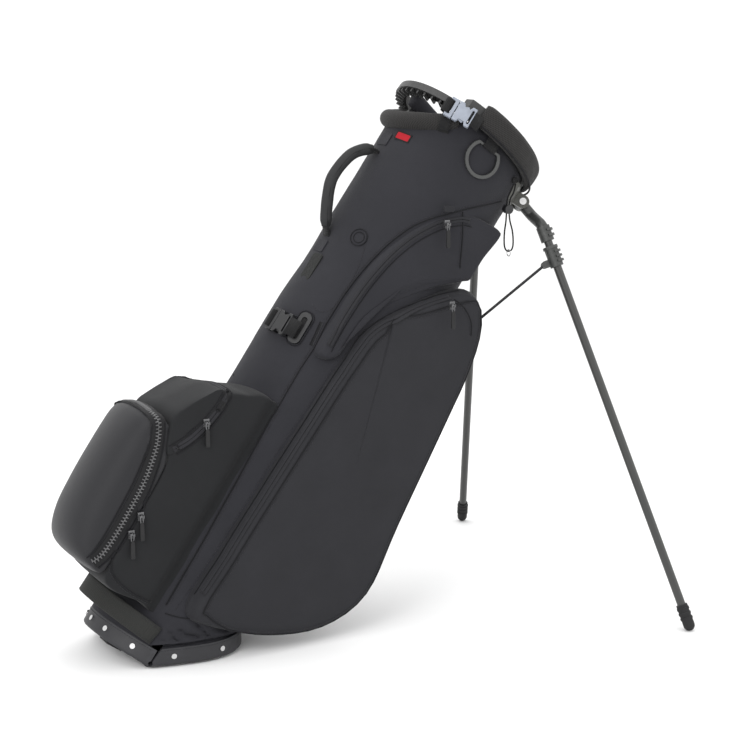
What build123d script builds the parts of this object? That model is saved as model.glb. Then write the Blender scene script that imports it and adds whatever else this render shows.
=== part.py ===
from build123d import *
from math import asin, atan2, cos, degrees, hypot, radians, sin, sqrt, tan
import os

# A carry bag for golf clubs, standing on its hinged foot plate and two splayed legs.
# Millimetres and degrees. Two frames are used:
#   the floor frame, +Z up and +X towards the legs, in which every part is written, and
#   the bag frame, +Z up the bag's own axis, +X towards the legs, +Y to the bag's left side.

# ---------------------------------------------------------------- driving dimensions
LEAN = 35.3                    # bag axis from vertical
TUBE_A, TUBE_B = 104.5, 94.0   # half sizes of the bag tube
TUBE_WALL = 2.5
RIM_A, RIM_B = 106.5, 95.5     # half sizes of the moulded base
RIM_WALL = 3.5
RIM_TOP = 27.0
SOLE = 3.0                     # thickness of the rubber pads
FLOOR_PLATE = 3.0              # thickness of the base plates
HINGE_V, HINGE_S = -42.0, 8.0  # base hinge in the bag frame
HINGE_X = -16.0                # base hinge in the floor frame
PIN_R = 3.0
MOUTH_S, COLLAR_TILT = 851.0, 5.6
RING_A, RING_B = 114.0, 101.0  # moulded collar, outside
RING_IN_A, RING_IN_B = 98.0, 86.0
RING_LOW, RING_HIGH = -4.0, 20.0
PAD_A, PAD_B = 125.0, 111.0    # padded cuff round the collar, outside
PAD_LOW, PAD_HIGH = -6.0, 25.0
MOUTH_DIP_V = -45.0            # where the mouth starts to dip on the handle side
MOUTH_DIP = 32.6               # slope of the dip
ROLL_R = 13.0
PIVOT = (113.0, 45.0, 816.0)   # left leg's pivot in the bag frame
LEG_SPLAY, LEG_SWING = 28.3, 50.6
LEG_OUT, LEG_UP = 26.0, 11.5   # tube line from the pivot: sideways, and across the swing
LEG_R, TIP_R = 6.0, 8.0
CLAMP_AT = (74.0, 104.0)       # clamp collar, along the leg from the pivot
LUG_AT, LUG_DROP, LUG_IN = 96.0, 15.0, 4.0
YOKE = (120.0, 20.0, 534.0)    # spreader arm's lower end
ROD_V, ROD_R = 96.0, 3.0
FIT = 0.06                     # radial running clearance

BIG = 2000.0


def bag_vector(v, w, s):
    """A direction in the bag frame, turned into the floor frame."""
    lean = radians(LEAN)
    return Vector(v * cos(lean) + s * sin(lean), w, s * cos(lean) - v * sin(lean))


HINGE = Vector(HINGE_X, 0, HINGE_S)
BAG_ORIGIN = HINGE - bag_vector(HINGE_V, 0, HINGE_S)
BAG = Plane(origin=BAG_ORIGIN, x_dir=bag_vector(1, 0, 0), z_dir=bag_vector(0, 0, 1)).location


def bag_point(v, w, s):
    """A point in the bag frame, turned into the floor frame."""
    return BAG_ORIGIN + bag_vector(v, w, s)


# ---------------------------------------------------------------- leg mechanism
def swing_directions(side):
    """Leg line, across it in the swing plane, and sideways, in the bag frame (-1 right, 1 left)."""
    splay, swing = radians(LEG_SPLAY), radians(LEG_SWING)
    out = Vector(cos(splay), side * sin(splay), 0)
    up = Vector(0, 0, 1)
    along = out * sin(swing) - up * cos(swing)
    across = up * sin(swing) + out * cos(swing)
    sideways = Vector(-sin(splay), side * cos(splay), 0)
    return along, across, sideways


def leg_point(side, along, across, sideways):
    """A point given in the leg's own directions from its pivot, in the bag frame."""
    e1, e2, e3 = swing_directions(side)
    pivot = Vector(PIVOT[0], side * PIVOT[1], PIVOT[2])
    return pivot + e1 * along + e2 * across + e3 * sideways


def tip_distance():
    """How far along the leg the rubber tip's ball centre is when it touches the floor."""
    def height(along):
        p = leg_point(-1, along, LEG_UP, LEG_OUT)
        return bag_point(p.X, p.Y, p.Z).Z
    slope = height(1) - height(0)
    return (TIP_R - height(0)) / slope


def arm_swing():
    """Slide of the yoke and turn of the spreader arm, relative to its leg, for a full fold."""
    lug = leg_point(-1, LUG_AT, LEG_UP - LUG_DROP, LEG_OUT - LUG_IN)
    yoke = Vector(YOKE[0], -YOKE[1], YOKE[2])
    length = (yoke - lug).length
    splay, swing = radians(LEG_SPLAY), radians(LEG_SWING)
    out = Vector(cos(splay), -sin(splay), 0)
    pivot = Vector(PIVOT[0], -PIVOT[1], PIVOT[2])
    reach = (lug - pivot).dot(out)
    rise = (lug - pivot).Z
    turned_out = reach * cos(swing) + rise * sin(swing)
    turned_up = rise * cos(swing) - reach * sin(swing)
    folded = lug + out * (turned_out - reach) + Vector(0, 0, turned_up - rise)
    level = hypot(yoke.X - folded.X, yoke.Y - folded.Y)
    yoke_low = folded.Z - sqrt(length ** 2 - level ** 2)
    before = atan2((yoke - lug).Z, (yoke - lug).dot(out))
    after = atan2(yoke_low - folded.Z, (yoke - folded).dot(out))
    return YOKE[2] - yoke_low, degrees(before - after) - LEG_SWING


TIP_AT = tip_distance()
YOKE_TRAVEL, ARM_SWING = arm_swing()
ROD_FOOT_V = HINGE_V + (YOKE_TRAVEL + 0.9) / tan(radians(LEAN))

# ---------------------------------------------------------------- helpers
def ellipse_solid(a, b, low, high):
    return extrude(Plane.XY.offset(low) * Ellipse(a, b), high - low)


def ellipse_wall(a, b, wall, low, high):
    return ellipse_solid(a, b, low, high) - ellipse_solid(a - wall, b - wall, low - 1, high + 1)


def keep_box(low, high):
    """A box between two corners."""
    size = [h - l for l, h in zip(low, high)]
    middle = [(h + l) / 2 for l, h in zip(low, high)]
    return Pos(*middle) * Box(*size)


def side_profile(points, low, high, radius=None):
    """A closed outline of (v, s) points, extruded between two side positions."""
    corners = [Vector(v, 0, s) for v, s in points]
    if radius:
        wire = FilletPolyline(*corners, radius=radius, close=True)
    else:
        wire = Polyline(*corners, close=True)
    face = Face(Wire(wire.edges()))
    if face.normal_at().Y < 0:
        face = -face
    return Pos(0, low, 0) * extrude(face, high - low, dir=(0, 1, 0))


def surface_plane(angle, s, lift=0.0, a=TUBE_A, b=TUBE_B):
    """A plane on the tube: x runs round the bag, y up it, z out of it."""
    t = radians(angle)
    out = Vector(cos(t) / a, sin(t) / b, 0).normalized()
    point = Vector(a * cos(t), b * sin(t), s) + out * lift
    return Plane(origin=point, x_dir=(-a * sin(t), b * cos(t), 0), z_dir=out)


def patch(angle, s, width, height, thick, corner=2.0):
    """A thin sewn patch that follows the tube."""
    plane = surface_plane(angle, s, -30)
    block = extrude(plane * RectangleRounded(width, height, corner), 60)
    skin = ellipse_wall(TUBE_A + thick + 0.05, TUBE_B + thick + 0.05, thick, s - height, s + height)
    return skin & block


def mirrored(solid):
    return mirror(solid, about=Plane.XZ)


def rod(start, end, radius):
    """A round rod between two points."""
    line = end - start
    return extrude(Plane(origin=start, z_dir=line) * Circle(radius), line.length)


def tube_along(path, radius):
    start = path @ 0
    section = Plane(origin=start, z_dir=path % 0) * Circle(radius)
    return sweep(section, path=path)


def above_collar(height):
    """Everything above a height in the tilted collar plane, in the bag frame."""
    block = Pos(0, 0, BIG / 2 + height) * Box(BIG, BIG, BIG)
    return Pos(0, 0, MOUTH_S) * Rot(0, COLLAR_TILT, 0) * block


def in_collar(solid):
    return Pos(0, 0, MOUTH_S) * Rot(0, COLLAR_TILT, 0) * solid


bag_nodes = {}
floor_nodes = {}

# ---------------------------------------------------------------- tube and mouth
FLOOR_GAP = 31.0               # the tube's fabric ends this far above the floor
dip_x = Vector(-cos(radians(MOUTH_DIP)), 0, -sin(radians(MOUTH_DIP)))
dip_up = Vector(-sin(radians(MOUTH_DIP)), 0, cos(radians(MOUTH_DIP)))
dip_start = Vector(MOUTH_DIP_V, 0, MOUTH_S - 2)
above_dip = Plane(origin=dip_start, x_dir=dip_x, z_dir=dip_up).location * (
    Pos(BIG / 2 - 60, 0, BIG / 2) * Box(BIG, BIG, BIG))
below_floor_gap = BAG.inverse() * Pos(0, 0, FLOOR_GAP - BIG / 2) * Box(BIG, BIG, BIG)

tube = ellipse_wall(TUBE_A, TUBE_B, TUBE_WALL, RIM_TOP + 0.3, 880)
tube -= above_collar(RING_LOW - 0.3)
tube -= above_dip
tube -= below_floor_gap
tube -= keep_box((80, -9, 455), (130, 9, 562))
bag_nodes["tube_shell"] = tube


def collar():
    """The moulded ring, with the lifting bar and its ribs on the handle side."""
    ring = ellipse_solid(RING_A, RING_B, RING_LOW, RING_HIGH)
    ring -= ellipse_solid(RING_IN_A, RING_IN_B, RING_LOW - 1, RING_HIGH + 1)
    ring &= keep_box((-62, -BIG, -60), (BIG, BIG, 60))
    bar = ellipse_solid(RING_A + 2, RING_B + 2, -5, 5)
    bar -= ellipse_solid(RING_IN_A, RING_IN_B, -6, 6)
    bar &= keep_box((-BIG, -BIG, -60), (-55, BIG, 60))
    whole = ring + bar
    for i in range(15):
        angle = radians(180 + (i - 7) * 7.5)
        a, b = RING_A - 7, RING_B - 7
        place = Pos(a * cos(angle), b * sin(angle), -7.5) * Rot(0, 0, degrees(angle))
        whole += place * Box(13, 2.6, 6)
    return in_collar(whole)


def collar_cuff():
    """Padded cuff over the ring's leg side, open underneath and inside."""
    cuff = ellipse_solid(PAD_A, PAD_B, PAD_LOW, PAD_HIGH)
    cuff = chamfer(cuff.edges().group_by(Axis.Z)[-1], 7)
    cuff -= ellipse_solid(RING_A + 0.3, RING_B + 0.3, -14, RING_HIGH + 0.3)
    cuff -= ellipse_solid(RING_IN_A, RING_IN_B, -14, 30)
    cuff &= keep_box((-30, -BIG, -60), (BIG, BIG, 60))
    return in_collar(cuff)


def mouth_roll():
    """Padded roll on the dipped edge of the tube."""
    tilt = radians(MOUTH_DIP)
    centre_s = dip_start.Z - dip_start.X * tan(tilt)
    plane = Plane(origin=(0, 0, centre_s), x_dir=(cos(tilt), 0, sin(tilt)), z_dir=(-sin(tilt), 0, cos(tilt)))
    half = TUBE_A - 1.5
    start = 180 - 46
    path = EllipticalCenterArc((0, 0), half / cos(tilt), TUBE_B - 1.5, start, arc_size=360 - 2 * start)
    path = plane * path
    roll = tube_along(path, ROLL_R)
    roll -= ellipse_wall(TUBE_A + 0.1, TUBE_B + 0.1, TUBE_WALL + 0.2, 700, centre_s) - above_dip
    return roll


def divider():
    """Fabric-covered cross bars with four-way divider sheets below them."""
    inside = ellipse_solid(RING_IN_A - 0.4, RING_IN_B - 0.4, -30, 4)
    bars = Box(300, 13, 24) + Box(13, 300, 24)
    bars = in_collar(inside & (Pos(0, 0, -10) * bars))
    sheets = Box(176, 1.6, 240) + Box(1.6, 164, 240)
    return bars + Pos(0, 0, 715) * sheets


bag_nodes["top_collar"] = collar()
bag_nodes["collar_pad"] = collar_cuff()
bag_nodes["collar_roll"] = mouth_roll()
bag_nodes["top_divider"] = divider()
bag_nodes["stays"] = Compound([
    Pos(-50, side * 76, 410) * Cylinder(3, 790) for side in (-1, 1)])

# ---------------------------------------------------------------- base and foot plate
def hinge_barrels(stations, radius):
    turned = Rot(90, 0, 0)
    return Compound([
        Pos(HINGE_V, (a + b) / 2, HINGE_S) * turned * Cylinder(radius, b - a) for a, b in stations])


CUP_STATIONS = [(-80, -50), (-15, 15), (50, 80)]
PLATE_STATIONS = [(-49.5, -15.5), (15.5, 49.5)]
BARREL_R = 6.6


def cut_stations(stations, grow):
    return hinge_barrels([(a - grow, b + grow) for a, b in stations], BARREL_R + 0.8)


def tray():
    """The moulded base as one shallow oval tray, before it is cut at the hinge."""
    shell = ellipse_solid(RIM_A, RIM_B, SOLE, RIM_TOP)
    shell = fillet(shell.edges().group_by(Axis.Z)[0], 4)
    return shell - ellipse_solid(RIM_A - RIM_WALL, RIM_B - RIM_WALL, SOLE + FLOOR_PLATE, RIM_TOP + 1)


# The foot plate flares a little towards the legs, for a wider stance than the cup.
PLATE_SIDE = [(-60, 81), (-41, 88.5), (-5, 96.5), (35, 101), (66, 95), (90, 77), (104, 50), (109, 18)]


def plate_edge(shrink=0.0):
    """The foot plate's outline on the leg side of the hinge, moved inwards by shrink."""
    middle = Vector(20, 0, 0)
    points = []
    for v, w in PLATE_SIDE:
        out = Vector(v, w, 0) - middle
        points.append(middle + out * (1 - shrink / out.length))
    return Spline(*[Vector(p.X, -p.Y, 0) for p in points], *points[::-1])


def plate_block(shrink, low, high):
    edge = plate_edge(shrink)
    face = make_face([edge, Line(edge @ 1, edge @ 0)])
    return Pos(0, 0, low) * extrude(face, high - low, dir=(0, 0, 1))


def plate_tray():
    shell = plate_block(0, SOLE, RIM_TOP)
    shell = fillet(shell.edges().group_by(Axis.Z)[0], 4)
    return shell - plate_block(RIM_WALL, SOLE + FLOOR_PLATE, RIM_TOP + 1)


def plate_rim(share, height):
    """A plane on the foot plate's rim: z points out of it."""
    edge = plate_edge()
    along = edge % share
    out = Vector(along.Y, -along.X, 0)
    return Plane(origin=(edge @ share) + Vector(0, 0, height), x_dir=along, z_dir=out)


def rim_point(angle, height):
    return surface_plane(angle, height, 0, RIM_A, RIM_B)


def rivet(plane, rim):
    """A domed rivet through the rim wall."""
    head = plane.location * Pos(0, 0, 0.6) * Cylinder(3.6, 2.4)
    shank = plane.location * Pos(0, 0, -1.2) * Cylinder(2.0, 4.2)
    return (head - rim) + shank


def rivet_hole(plane):
    return plane.location * Pos(0, 0, -3) * Cylinder(2.05, 16)


RIVET_S = 16.0
CUP_RIVETS = [rim_point(angle, RIVET_S) for angle in (-158, -131, 131, 158, 180)]
PLATE_RIVETS = [plate_rim(share, RIVET_S) for share in (0.105, 0.245, 0.40, 0.60, 0.755, 0.895)]


def base_cup():
    cup = tray() & keep_box((-BIG, -BIG, -1), (HINGE_V - 1, BIG, 60))
    cup += hinge_barrels(CUP_STATIONS, BARREL_R) & keep_box((-BIG, -BIG, -5), (BIG, BIG, 60))
    for a, b in CUP_STATIONS:
        cup += keep_box((HINGE_V - 8, a, SOLE), (HINGE_V - 0.5, b, HINGE_S + 4))
    cup -= cut_stations(PLATE_STATIONS, 0.5)
    cup -= Pos(HINGE_V, 0, HINGE_S) * Rot(90, 0, 0) * Cylinder(PIN_R + 0.02, 200)
    for plane in CUP_RIVETS:
        cup -= rivet_hole(plane)
    for side in (-1, 1):
        cup -= Pos(-50, side * 76, 15) * Cylinder(3.3, 20)
    return cup


def foot_plate():
    """The hinged leg-side half of the base, drawn flush with the cup as when the bag stands upright."""
    tilt = LEAN + 1.0
    plate = plate_tray() & keep_box((HINGE_V + 1, -BIG, -1), (BIG, BIG, 60))
    lean_cut = Pos(HINGE_V + 1, 0, HINGE_S) * Rot(0, tilt, 0) * Pos(-BIG / 2, 0, BIG / 2) * Box(BIG, BIG, BIG)
    plate -= lean_cut & keep_box((-BIG, -BIG, HINGE_S), (BIG, BIG, BIG))
    plate += hinge_barrels(PLATE_STATIONS, BARREL_R)
    for a, b in PLATE_STATIONS:
        plate += keep_box((HINGE_V + 0.5, a, SOLE), (HINGE_V + 10, b, HINGE_S + 1))
    plate -= cut_stations(CUP_STATIONS, 0.5)
    plate -= Pos(HINGE_V, 0, HINGE_S) * Rot(90, 0, 0) * Cylinder(PIN_R + FIT, 200)
    for side in (-1, 1):
        rib = keep_box((HINGE_V + 12, side * 30 - 1.5, 5), (RIM_A - 8, side * 30 + 1.5, 14))
        plate += rib & ellipse_solid(RIM_A - 2, RIM_B - 2, 0, 40)
    for plane in PLATE_RIVETS:
        plate -= rivet_hole(plane)
    return plate


FOOT = Pos(HINGE_X - HINGE_V, 0, 0)      # the plate lies flat on the floor at rest
foot_pads = keep_box((-9, -62, 0), (9, 62, SOLE)) + keep_box((92, -34, 0), (108, 34, SOLE))
bag_nodes["base_cup"] = base_cup()
floor_nodes["foot_plate"] = FOOT * foot_plate()
floor_nodes["foot_pads"] = foot_pads
PLATE_RIM = plate_block(0, 0, 40)
CUP_RIM = ellipse_solid(RIM_A, RIM_B, 0, 40)
floor_nodes["foot_rivets"] = FOOT * Compound([rivet(plane, PLATE_RIM) for plane in PLATE_RIVETS])
bag_nodes["base_rivets"] = Compound([rivet(plane, CUP_RIM) for plane in CUP_RIVETS])
bag_nodes["base_pads"] = Compound([
    keep_box((-90, side * 30 - 14, 0), (-66, side * 30 + 14, SOLE)) for side in (-1, 1)])
bag_nodes["hinge_pin"] = Pos(HINGE_V, 0, HINGE_S) * Rot(90, 0, 0) * Cylinder(PIN_R, 158)


def gusset():
    """Folded fabric between the foot plate's rim and the tube, at rest."""
    low, high = 15.0, FLOOR_GAP - 1.0

    def outline(middle, a, b, back, z):
        angle = degrees(asin(sqrt(1 - ((back - middle) / a) ** 2)))
        if back < middle:
            angle = 180 - angle
        arc = EllipticalCenterArc((middle, 0), a, b, -angle, arc_size=2 * angle)
        chord = Line(arc @ 1, arc @ 0)
        return Plane.XY.offset(z) * make_face([arc, chord])

    back = HINGE_X + 14
    plate_middle = HINGE_X - HINGE_V
    lean = radians(LEAN)
    tube_middle = BAG_ORIGIN.X + (high - BAG_ORIGIN.Z) * tan(lean)
    grown = RIM_WALL + 0.6
    lower = outline(plate_middle, RIM_A - grown, RIM_B - grown, back, low)
    mid = outline(plate_middle, RIM_A - grown, RIM_B - grown, back, RIM_TOP)
    upper = outline(tube_middle, TUBE_A / cos(lean) - 1, TUBE_B - 1, back, high)
    outer = loft([lower, mid], ruled=True) + loft([mid, upper], ruled=True)
    wall = 2.2
    lower_in = outline(plate_middle, RIM_A - grown - wall, RIM_B - grown - wall, back + wall, low - 0.5)
    mid_in = outline(plate_middle, RIM_A - grown - wall, RIM_B - grown - wall, back + wall, RIM_TOP - wall)
    upper_in = outline(tube_middle, TUBE_A / cos(lean) - 6, TUBE_B - 3.4, back + wall, high + 0.5)
    inner = loft([lower_in, mid_in], ruled=True) + loft([mid_in, upper_in], ruled=True)
    return outer - inner


floor_nodes["base_gusset"] = gusset()


def base_strap():
    """Elastic webbing loop standing off the handle side of the base."""
    low, high = 34.0, 62.0
    loop = ellipse_wall(TUBE_A + 19, TUBE_B + 2.4, 2.0, low, high)
    return loop & keep_box((-BIG, -BIG, 0), (HINGE_V - 5, BIG, 100))


bag_nodes["base_strap"] = base_strap()

# ---------------------------------------------------------------- legs
def leg_frame(side):
    """The leg's own frame: x down the leg, z sideways out of the swing plane."""
    e1, _, e3 = swing_directions(side)
    return Plane(origin=leg_point(side, 0, 0, 0), x_dir=e1, z_dir=e3)


RIGHT_LEG = leg_frame(-1).location
LUG_EAR, LUG_R = 2.2, 5.0
EYE_HALF = 2.5
EAR_GAP = 1.0


def along_x(radius, start, end, y=LEG_UP, z=LEG_OUT):
    return Pos((start + end) / 2, y, z) * Rot(0, 90, 0) * Cylinder(radius, end - start)


def leg_head():
    """Curved moulded arm from the pivot to the tube's socket."""
    boss = Cylinder(9.5, 17.4)
    route = FilletPolyline((0, 0, 0), (22, 8, 0), (42, LEG_UP, LEG_OUT), (66, LEG_UP, LEG_OUT),
                           radius=[14, 16])
    head = boss + tube_along(route, 7.8) + along_x(9.6, 44, 66)
    for x in (51, 59):
        fin = Pos(x, LEG_UP, LEG_OUT) * Rot(0, 90, 0) * Cylinder(12.4, 3.2)
        head += fin & keep_box((0, LEG_UP + 2, -BIG), (BIG, BIG, BIG))
    head -= along_x(LEG_R + 0.05, 46, 80)
    return head - Cylinder(PIN_R + FIT, 60)


def leg_clamp():
    """Collar clamped on the tube, with the lug that carries the spreader arm."""
    low, high = CLAMP_AT
    clamp = along_x(9.6, low, high) + along_x(10.8, low, low + 4)
    for x in (low + 9, low + 16, low + 23):
        fin = Pos(x, LEG_UP, LEG_OUT) * Rot(0, 90, 0) * Cylinder(12.6, 3.0)
        clamp += fin & keep_box((0, LEG_UP + 2, -BIG), (BIG, BIG, BIG))
    y, z = LEG_UP - LUG_DROP, LEG_OUT - LUG_IN
    for face in (-1, 1):
        middle = z + face * (EYE_HALF + EAR_GAP + LUG_EAR / 2)
        ear = Pos(LUG_AT, y, middle) * Cylinder(LUG_R, LUG_EAR)
        ear += Pos(LUG_AT, y + LUG_DROP / 2, middle) * Box(2 * LUG_R, LUG_DROP, LUG_EAR)
        clamp += ear
    clamp += Pos(LUG_AT, y, z) * Cylinder(1.5, 2 * (EYE_HALF + EAR_GAP + LUG_EAR))
    return clamp - along_x(LEG_R + 0.05, low - 1, high + 1)


def spreader_arm():
    """Thin rod with an eye at the clamp and a flat end in the yoke."""
    eye = Vector(LUG_AT, LEG_UP - LUG_DROP, LEG_OUT - LUG_IN)
    yoke = Vector(YOKE[0], -YOKE[1], YOKE[2])
    far = RIGHT_LEG.inverse() * Pos(yoke.X, yoke.Y, yoke.Z)
    end = far.position
    line = (end - eye).normalized()
    arm = rod(eye + line * 2.6, end - line * 2, 2.0)
    arm += Pos(*eye) * Cylinder(4.4, 2 * EYE_HALF)
    arm += Pos(*end) * Cylinder(4.0, 2 * EYE_HALF)
    return arm - Pos(*eye) * Cylinder(1.5 + FIT, 20)


def leg_tip():
    tip = along_x(TIP_R, TIP_AT - 30, TIP_AT) + Pos(TIP_AT, LEG_UP, LEG_OUT) * Sphere(TIP_R)
    for x in (TIP_AT - 24, TIP_AT - 17, TIP_AT - 10):
        tip += along_x(TIP_R + 0.9, x - 1.5, x + 1.5)
    return tip - along_x(LEG_R + 0.05, TIP_AT - 31, TIP_AT - 3.9)


leg_parts = {
    "leg_head": leg_head(),
    "leg_tube": along_x(LEG_R, 46.2, TIP_AT - 4) - along_x(LEG_R - 1, 40, TIP_AT),
    "leg_clamp": leg_clamp(),
    "leg_tip": leg_tip(),
    "spreader_arm": spreader_arm(),
}
for name, solid in leg_parts.items():
    placed = RIGHT_LEG * solid
    bag_nodes[name + "_right"] = placed
    bag_nodes[name + "_left"] = mirrored(placed)


def leg_bracket():
    """Moulded bracket under the collar, with a fork for each leg."""
    low, high = PIVOT[2] - 14, PIVOT[2] + 14
    band = ellipse_wall(TUBE_A + 7.3, TUBE_B + 7.3, 7.0, low, high)
    band &= keep_box((62, -70, 0), (BIG, 70, BIG))
    swell = ellipse_solid(TUBE_A + 0.3, TUBE_B + 0.3, low - 30, high + 30)
    fork = None
    for middle in (-11.6, 11.6):
        cheek = Pos(0, 0, middle) * (Cylinder(9.5, 5))
        bar = RIGHT_LEG.inverse() * (Pos(PIVOT[0], -PIVOT[1], PIVOT[2]) * Rot(0, 0, -LEG_SPLAY)
                                     * Pos(-18, 0, 0) * Box(36, 60, 19))
        cheek += bar & (Pos(0, 0, middle) * Box(200, 200, 5))
        fork = cheek if fork is None else fork + cheek
    fork -= Cylinder(PIN_R + 0.02, 80)
    fork = RIGHT_LEG * fork - swell
    return band + fork + mirrored(fork)


bag_nodes["leg_bracket"] = leg_bracket()
leg_pin = RIGHT_LEG * (Cylinder(PIN_R, 30) + Pos(0, 0, 15.4) * Cylinder(5, 2) + Pos(0, 0, -15.4) * Cylinder(5, 2))
bag_nodes["leg_pins"] = Compound([leg_pin, mirrored(leg_pin)])

# ---------------------------------------------------------------- push rod and yoke
def push_rod():
    """Bent rod from the foot plate's middle to the yoke, inside the tube."""
    lean = radians(LEAN)
    plate_drop = HINGE_S - SOLE - FLOOR_PLATE
    foot_s = HINGE_S + (ROD_FOOT_V - HINGE_V) * tan(lean) + (ROD_R + 1.1 - plate_drop) / cos(lean)
    route = FilletPolyline((ROD_FOOT_V, 0, foot_s), (ROD_FOOT_V, 0, 92), (ROD_V, 0, 176), (ROD_V, 0, YOKE[2] + 8),
                           radius=25)
    foot = Pos(ROD_FOOT_V, 0, foot_s) * Sphere(ROD_R + 0.6)
    return tube_along(route, ROD_R) + foot


def rod_yoke():
    """Block on the rod's top end that carries the lower ends of both spreader arms."""
    v, w, s = YOKE
    block = keep_box((ROD_V - 7, -7, s - 14), (v - 8, 7, s + 14))
    block += keep_box((v - 12, -w - 12, s - 24), (v + 7, w + 12, s + 12))
    for side in (-1, 1):
        _, _, sideways = swing_directions(side)
        out = Vector(cos(radians(LEG_SPLAY)), side * sin(radians(LEG_SPLAY)), 0)
        middle = Vector(v, side * w, s) + sideways * 2.5
        frame = Plane(origin=middle, x_dir=out, z_dir=(0, 0, 1))
        block -= frame.location * (Pos(22, 0, 2) * Box(60, 14, 41))
    return block - Pos(ROD_V, 0, s) * Cylinder(ROD_R + 0.02, 80)


def rod_guides():
    """Two guide eyes that hold the rod to the inside of the tube."""
    guides = []
    for s in (240, 400):
        eye = Pos(ROD_V, 0, s) * (Cylinder(6, 14) - Cylinder(ROD_R + 0.25, 20))
        guides.append(eye & ellipse_solid(TUBE_A - TUBE_WALL - 0.1, TUBE_B, s - 20, s + 20))
    return Compound(guides)


bag_nodes["push_rod"] = push_rod()
bag_nodes["rod_yoke"] = rod_yoke()
bag_nodes["rod_guides"] = rod_guides()

# ---------------------------------------------------------------- pockets
TUBE_CLEAR = ellipse_solid(TUBE_A + 0.3, TUBE_B + 0.3, -100, 1000)
BALL_RIGHT, BALL_LEFT = 82.0, 62.0   # the pocket reaches further on the bag's right side
BALL_BODY = [(-60, 70), (-150, 68), (-163, 90), (-167, 235), (-199, 283), (-196, 300), (-60, 335)]
BALL_FRONT = [(-165, 84), (-190, 80), (-220, 92), (-235, 125), (-239, 200), (-240, 262), (-224, 287), (-205, 281),
              (-169, 235)]
BALL_LID = [(-60, 337), (-196, 303), (-188, 325), (-167, 356), (-150, 371), (-122, 382), (-108, 392), (-60, 396)]


def handle_side_pocket(points, inside, corner):
    return side_profile(points, inside - BALL_RIGHT, BALL_LEFT - inside, corner) - TUBE_CLEAR


bag_nodes["ball_pocket"] = handle_side_pocket(BALL_BODY, 0, 5)
bag_nodes["ball_pocket_front"] = handle_side_pocket(BALL_FRONT, 4, 5)
bag_nodes["ball_pocket_lid"] = handle_side_pocket(BALL_LID, 2, 4)

APPAREL = [(-36, 92), (34, 102), (89, 125), (139, 158), (173, 203), (181, 246), (170, 328), (159, 426),
           (150, 506), (143, 557), (119, 620), (80, 655), (30, 615), (-22, 545), (-33, 480)]
UPPER = [(-62, 500), (-37, 500), (-26, 551), (27, 621), (72, 661), (85, 672), (88, 742), (20, 738), (-22, 716),
         (-58, 640)]
FAR = [(-58, 160), (60, 160), (70, 470), (-58, 470)]


def side_pocket(points, corner, inner, outer, edge):
    """A flat pocket on the bag's right side, between two side positions, with a rounded outer face."""
    slab = side_profile(points, -outer, -inner, corner)
    slab = fillet(slab.faces().sort_by(Axis.Y)[0].edges(), edge)
    return slab - TUBE_CLEAR


def leg_channel():
    """The room that the right leg sweeps as it folds: everything on the bag's side of a plane beside it."""
    middle = leg_point(-1, 0, 0, LEG_OUT + 10.5)
    _, _, sideways = swing_directions(-1)
    plane = Plane(origin=middle, x_dir=(0, 0, 1), z_dir=-sideways)
    return plane.location * Pos(0, 0, BIG / 2) * Box(BIG, BIG, BIG) & keep_box((60, -BIG, -BIG), (BIG, BIG, BIG))


bag_nodes["apparel_pocket"] = side_pocket(APPAREL, 14, 86, 124, 12) - leg_channel()
bag_nodes["upper_pocket"] = side_pocket(UPPER, 9, 70, 104, 7)
bag_nodes["far_pocket"] = mirrored(side_pocket(FAR, 16, 62, 110, 12))

# ---------------------------------------------------------------- handle, labels and trim
def grab_handle():
    reach = TUBE_A + 36.5
    route = FilletPolyline((-TUBE_A - 5, 0, 762), (-reach, 0, 730), (-reach, 0, 684), (-TUBE_A - 5, 0, 626),
                           radius=26)
    ends = [Pos(-TUBE_A - 4.4, 0, s) * Box(4, 22, 14) for s in (760, 628)]
    return tube_along(route, 8) + ends[0] + ends[1] - TUBE_CLEAR


bag_nodes["grab_handle"] = grab_handle()
bag_nodes["handle_tabs"] = Compound([patch(180, s, 30, 22, 1.2) for s in (781, 606)])
bag_nodes["woven_label"] = patch(201, 789, 26, 12, 0.9, 1)
bag_nodes["velcro_patch"] = patch(187, 573, 22, 40, 1.2, 5)
bag_nodes["snap_ring"] = (surface_plane(215, 636, 0.6).location * Cylinder(12, 3)) - TUBE_CLEAR
bag_nodes["webbing_plate"] = patch(213, 489, 18, 44, 1.6, 8)


# ---------------------------------------------------------------- buckles
def buckle_female(length, width, thick):
    body = Pos(length / 2, 0, 0) * Box(length, width, thick)
    body -= Pos(length / 2 - 3, 0, 0) * Box(length, width - 6, thick - 4)
    for side in (-1, 1):
        body -= Pos(length * 0.45, side * width / 2, 0) * Cylinder(5, thick + 2)
    return body


def buckle_male(length, width, thick):
    base = Pos(-6.4, 0, 0) * Box(12, width, thick)
    base -= Pos(-8, 0, 0) * Box(4, width - 8, thick + 2)
    tongue = Pos(length * 0.35 - 2, 0, 0) * Box(length * 0.7, width - 7, thick - 5)
    for side in (-1, 1):
        tongue -= Pos(length * 0.45, side * width / 2, 0) * Cylinder(5.4, thick + 2)
    return base + tongue


COLLAR_BUCKLE = surface_plane(232, 848, 13.5, RING_A, RING_B)
SIDE_BUCKLE = surface_plane(192, 484, 7.0)
bag_nodes["collar_buckle_female"] = COLLAR_BUCKLE.location * buckle_female(26, 28, 9)
bag_nodes["collar_buckle_male"] = COLLAR_BUCKLE.location * buckle_male(26, 28, 9)
bag_nodes["side_buckle_female"] = SIDE_BUCKLE.location * buckle_female(26, 32, 9)
bag_nodes["side_buckle_male"] = SIDE_BUCKLE.location * buckle_male(26, 32, 9)


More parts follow.
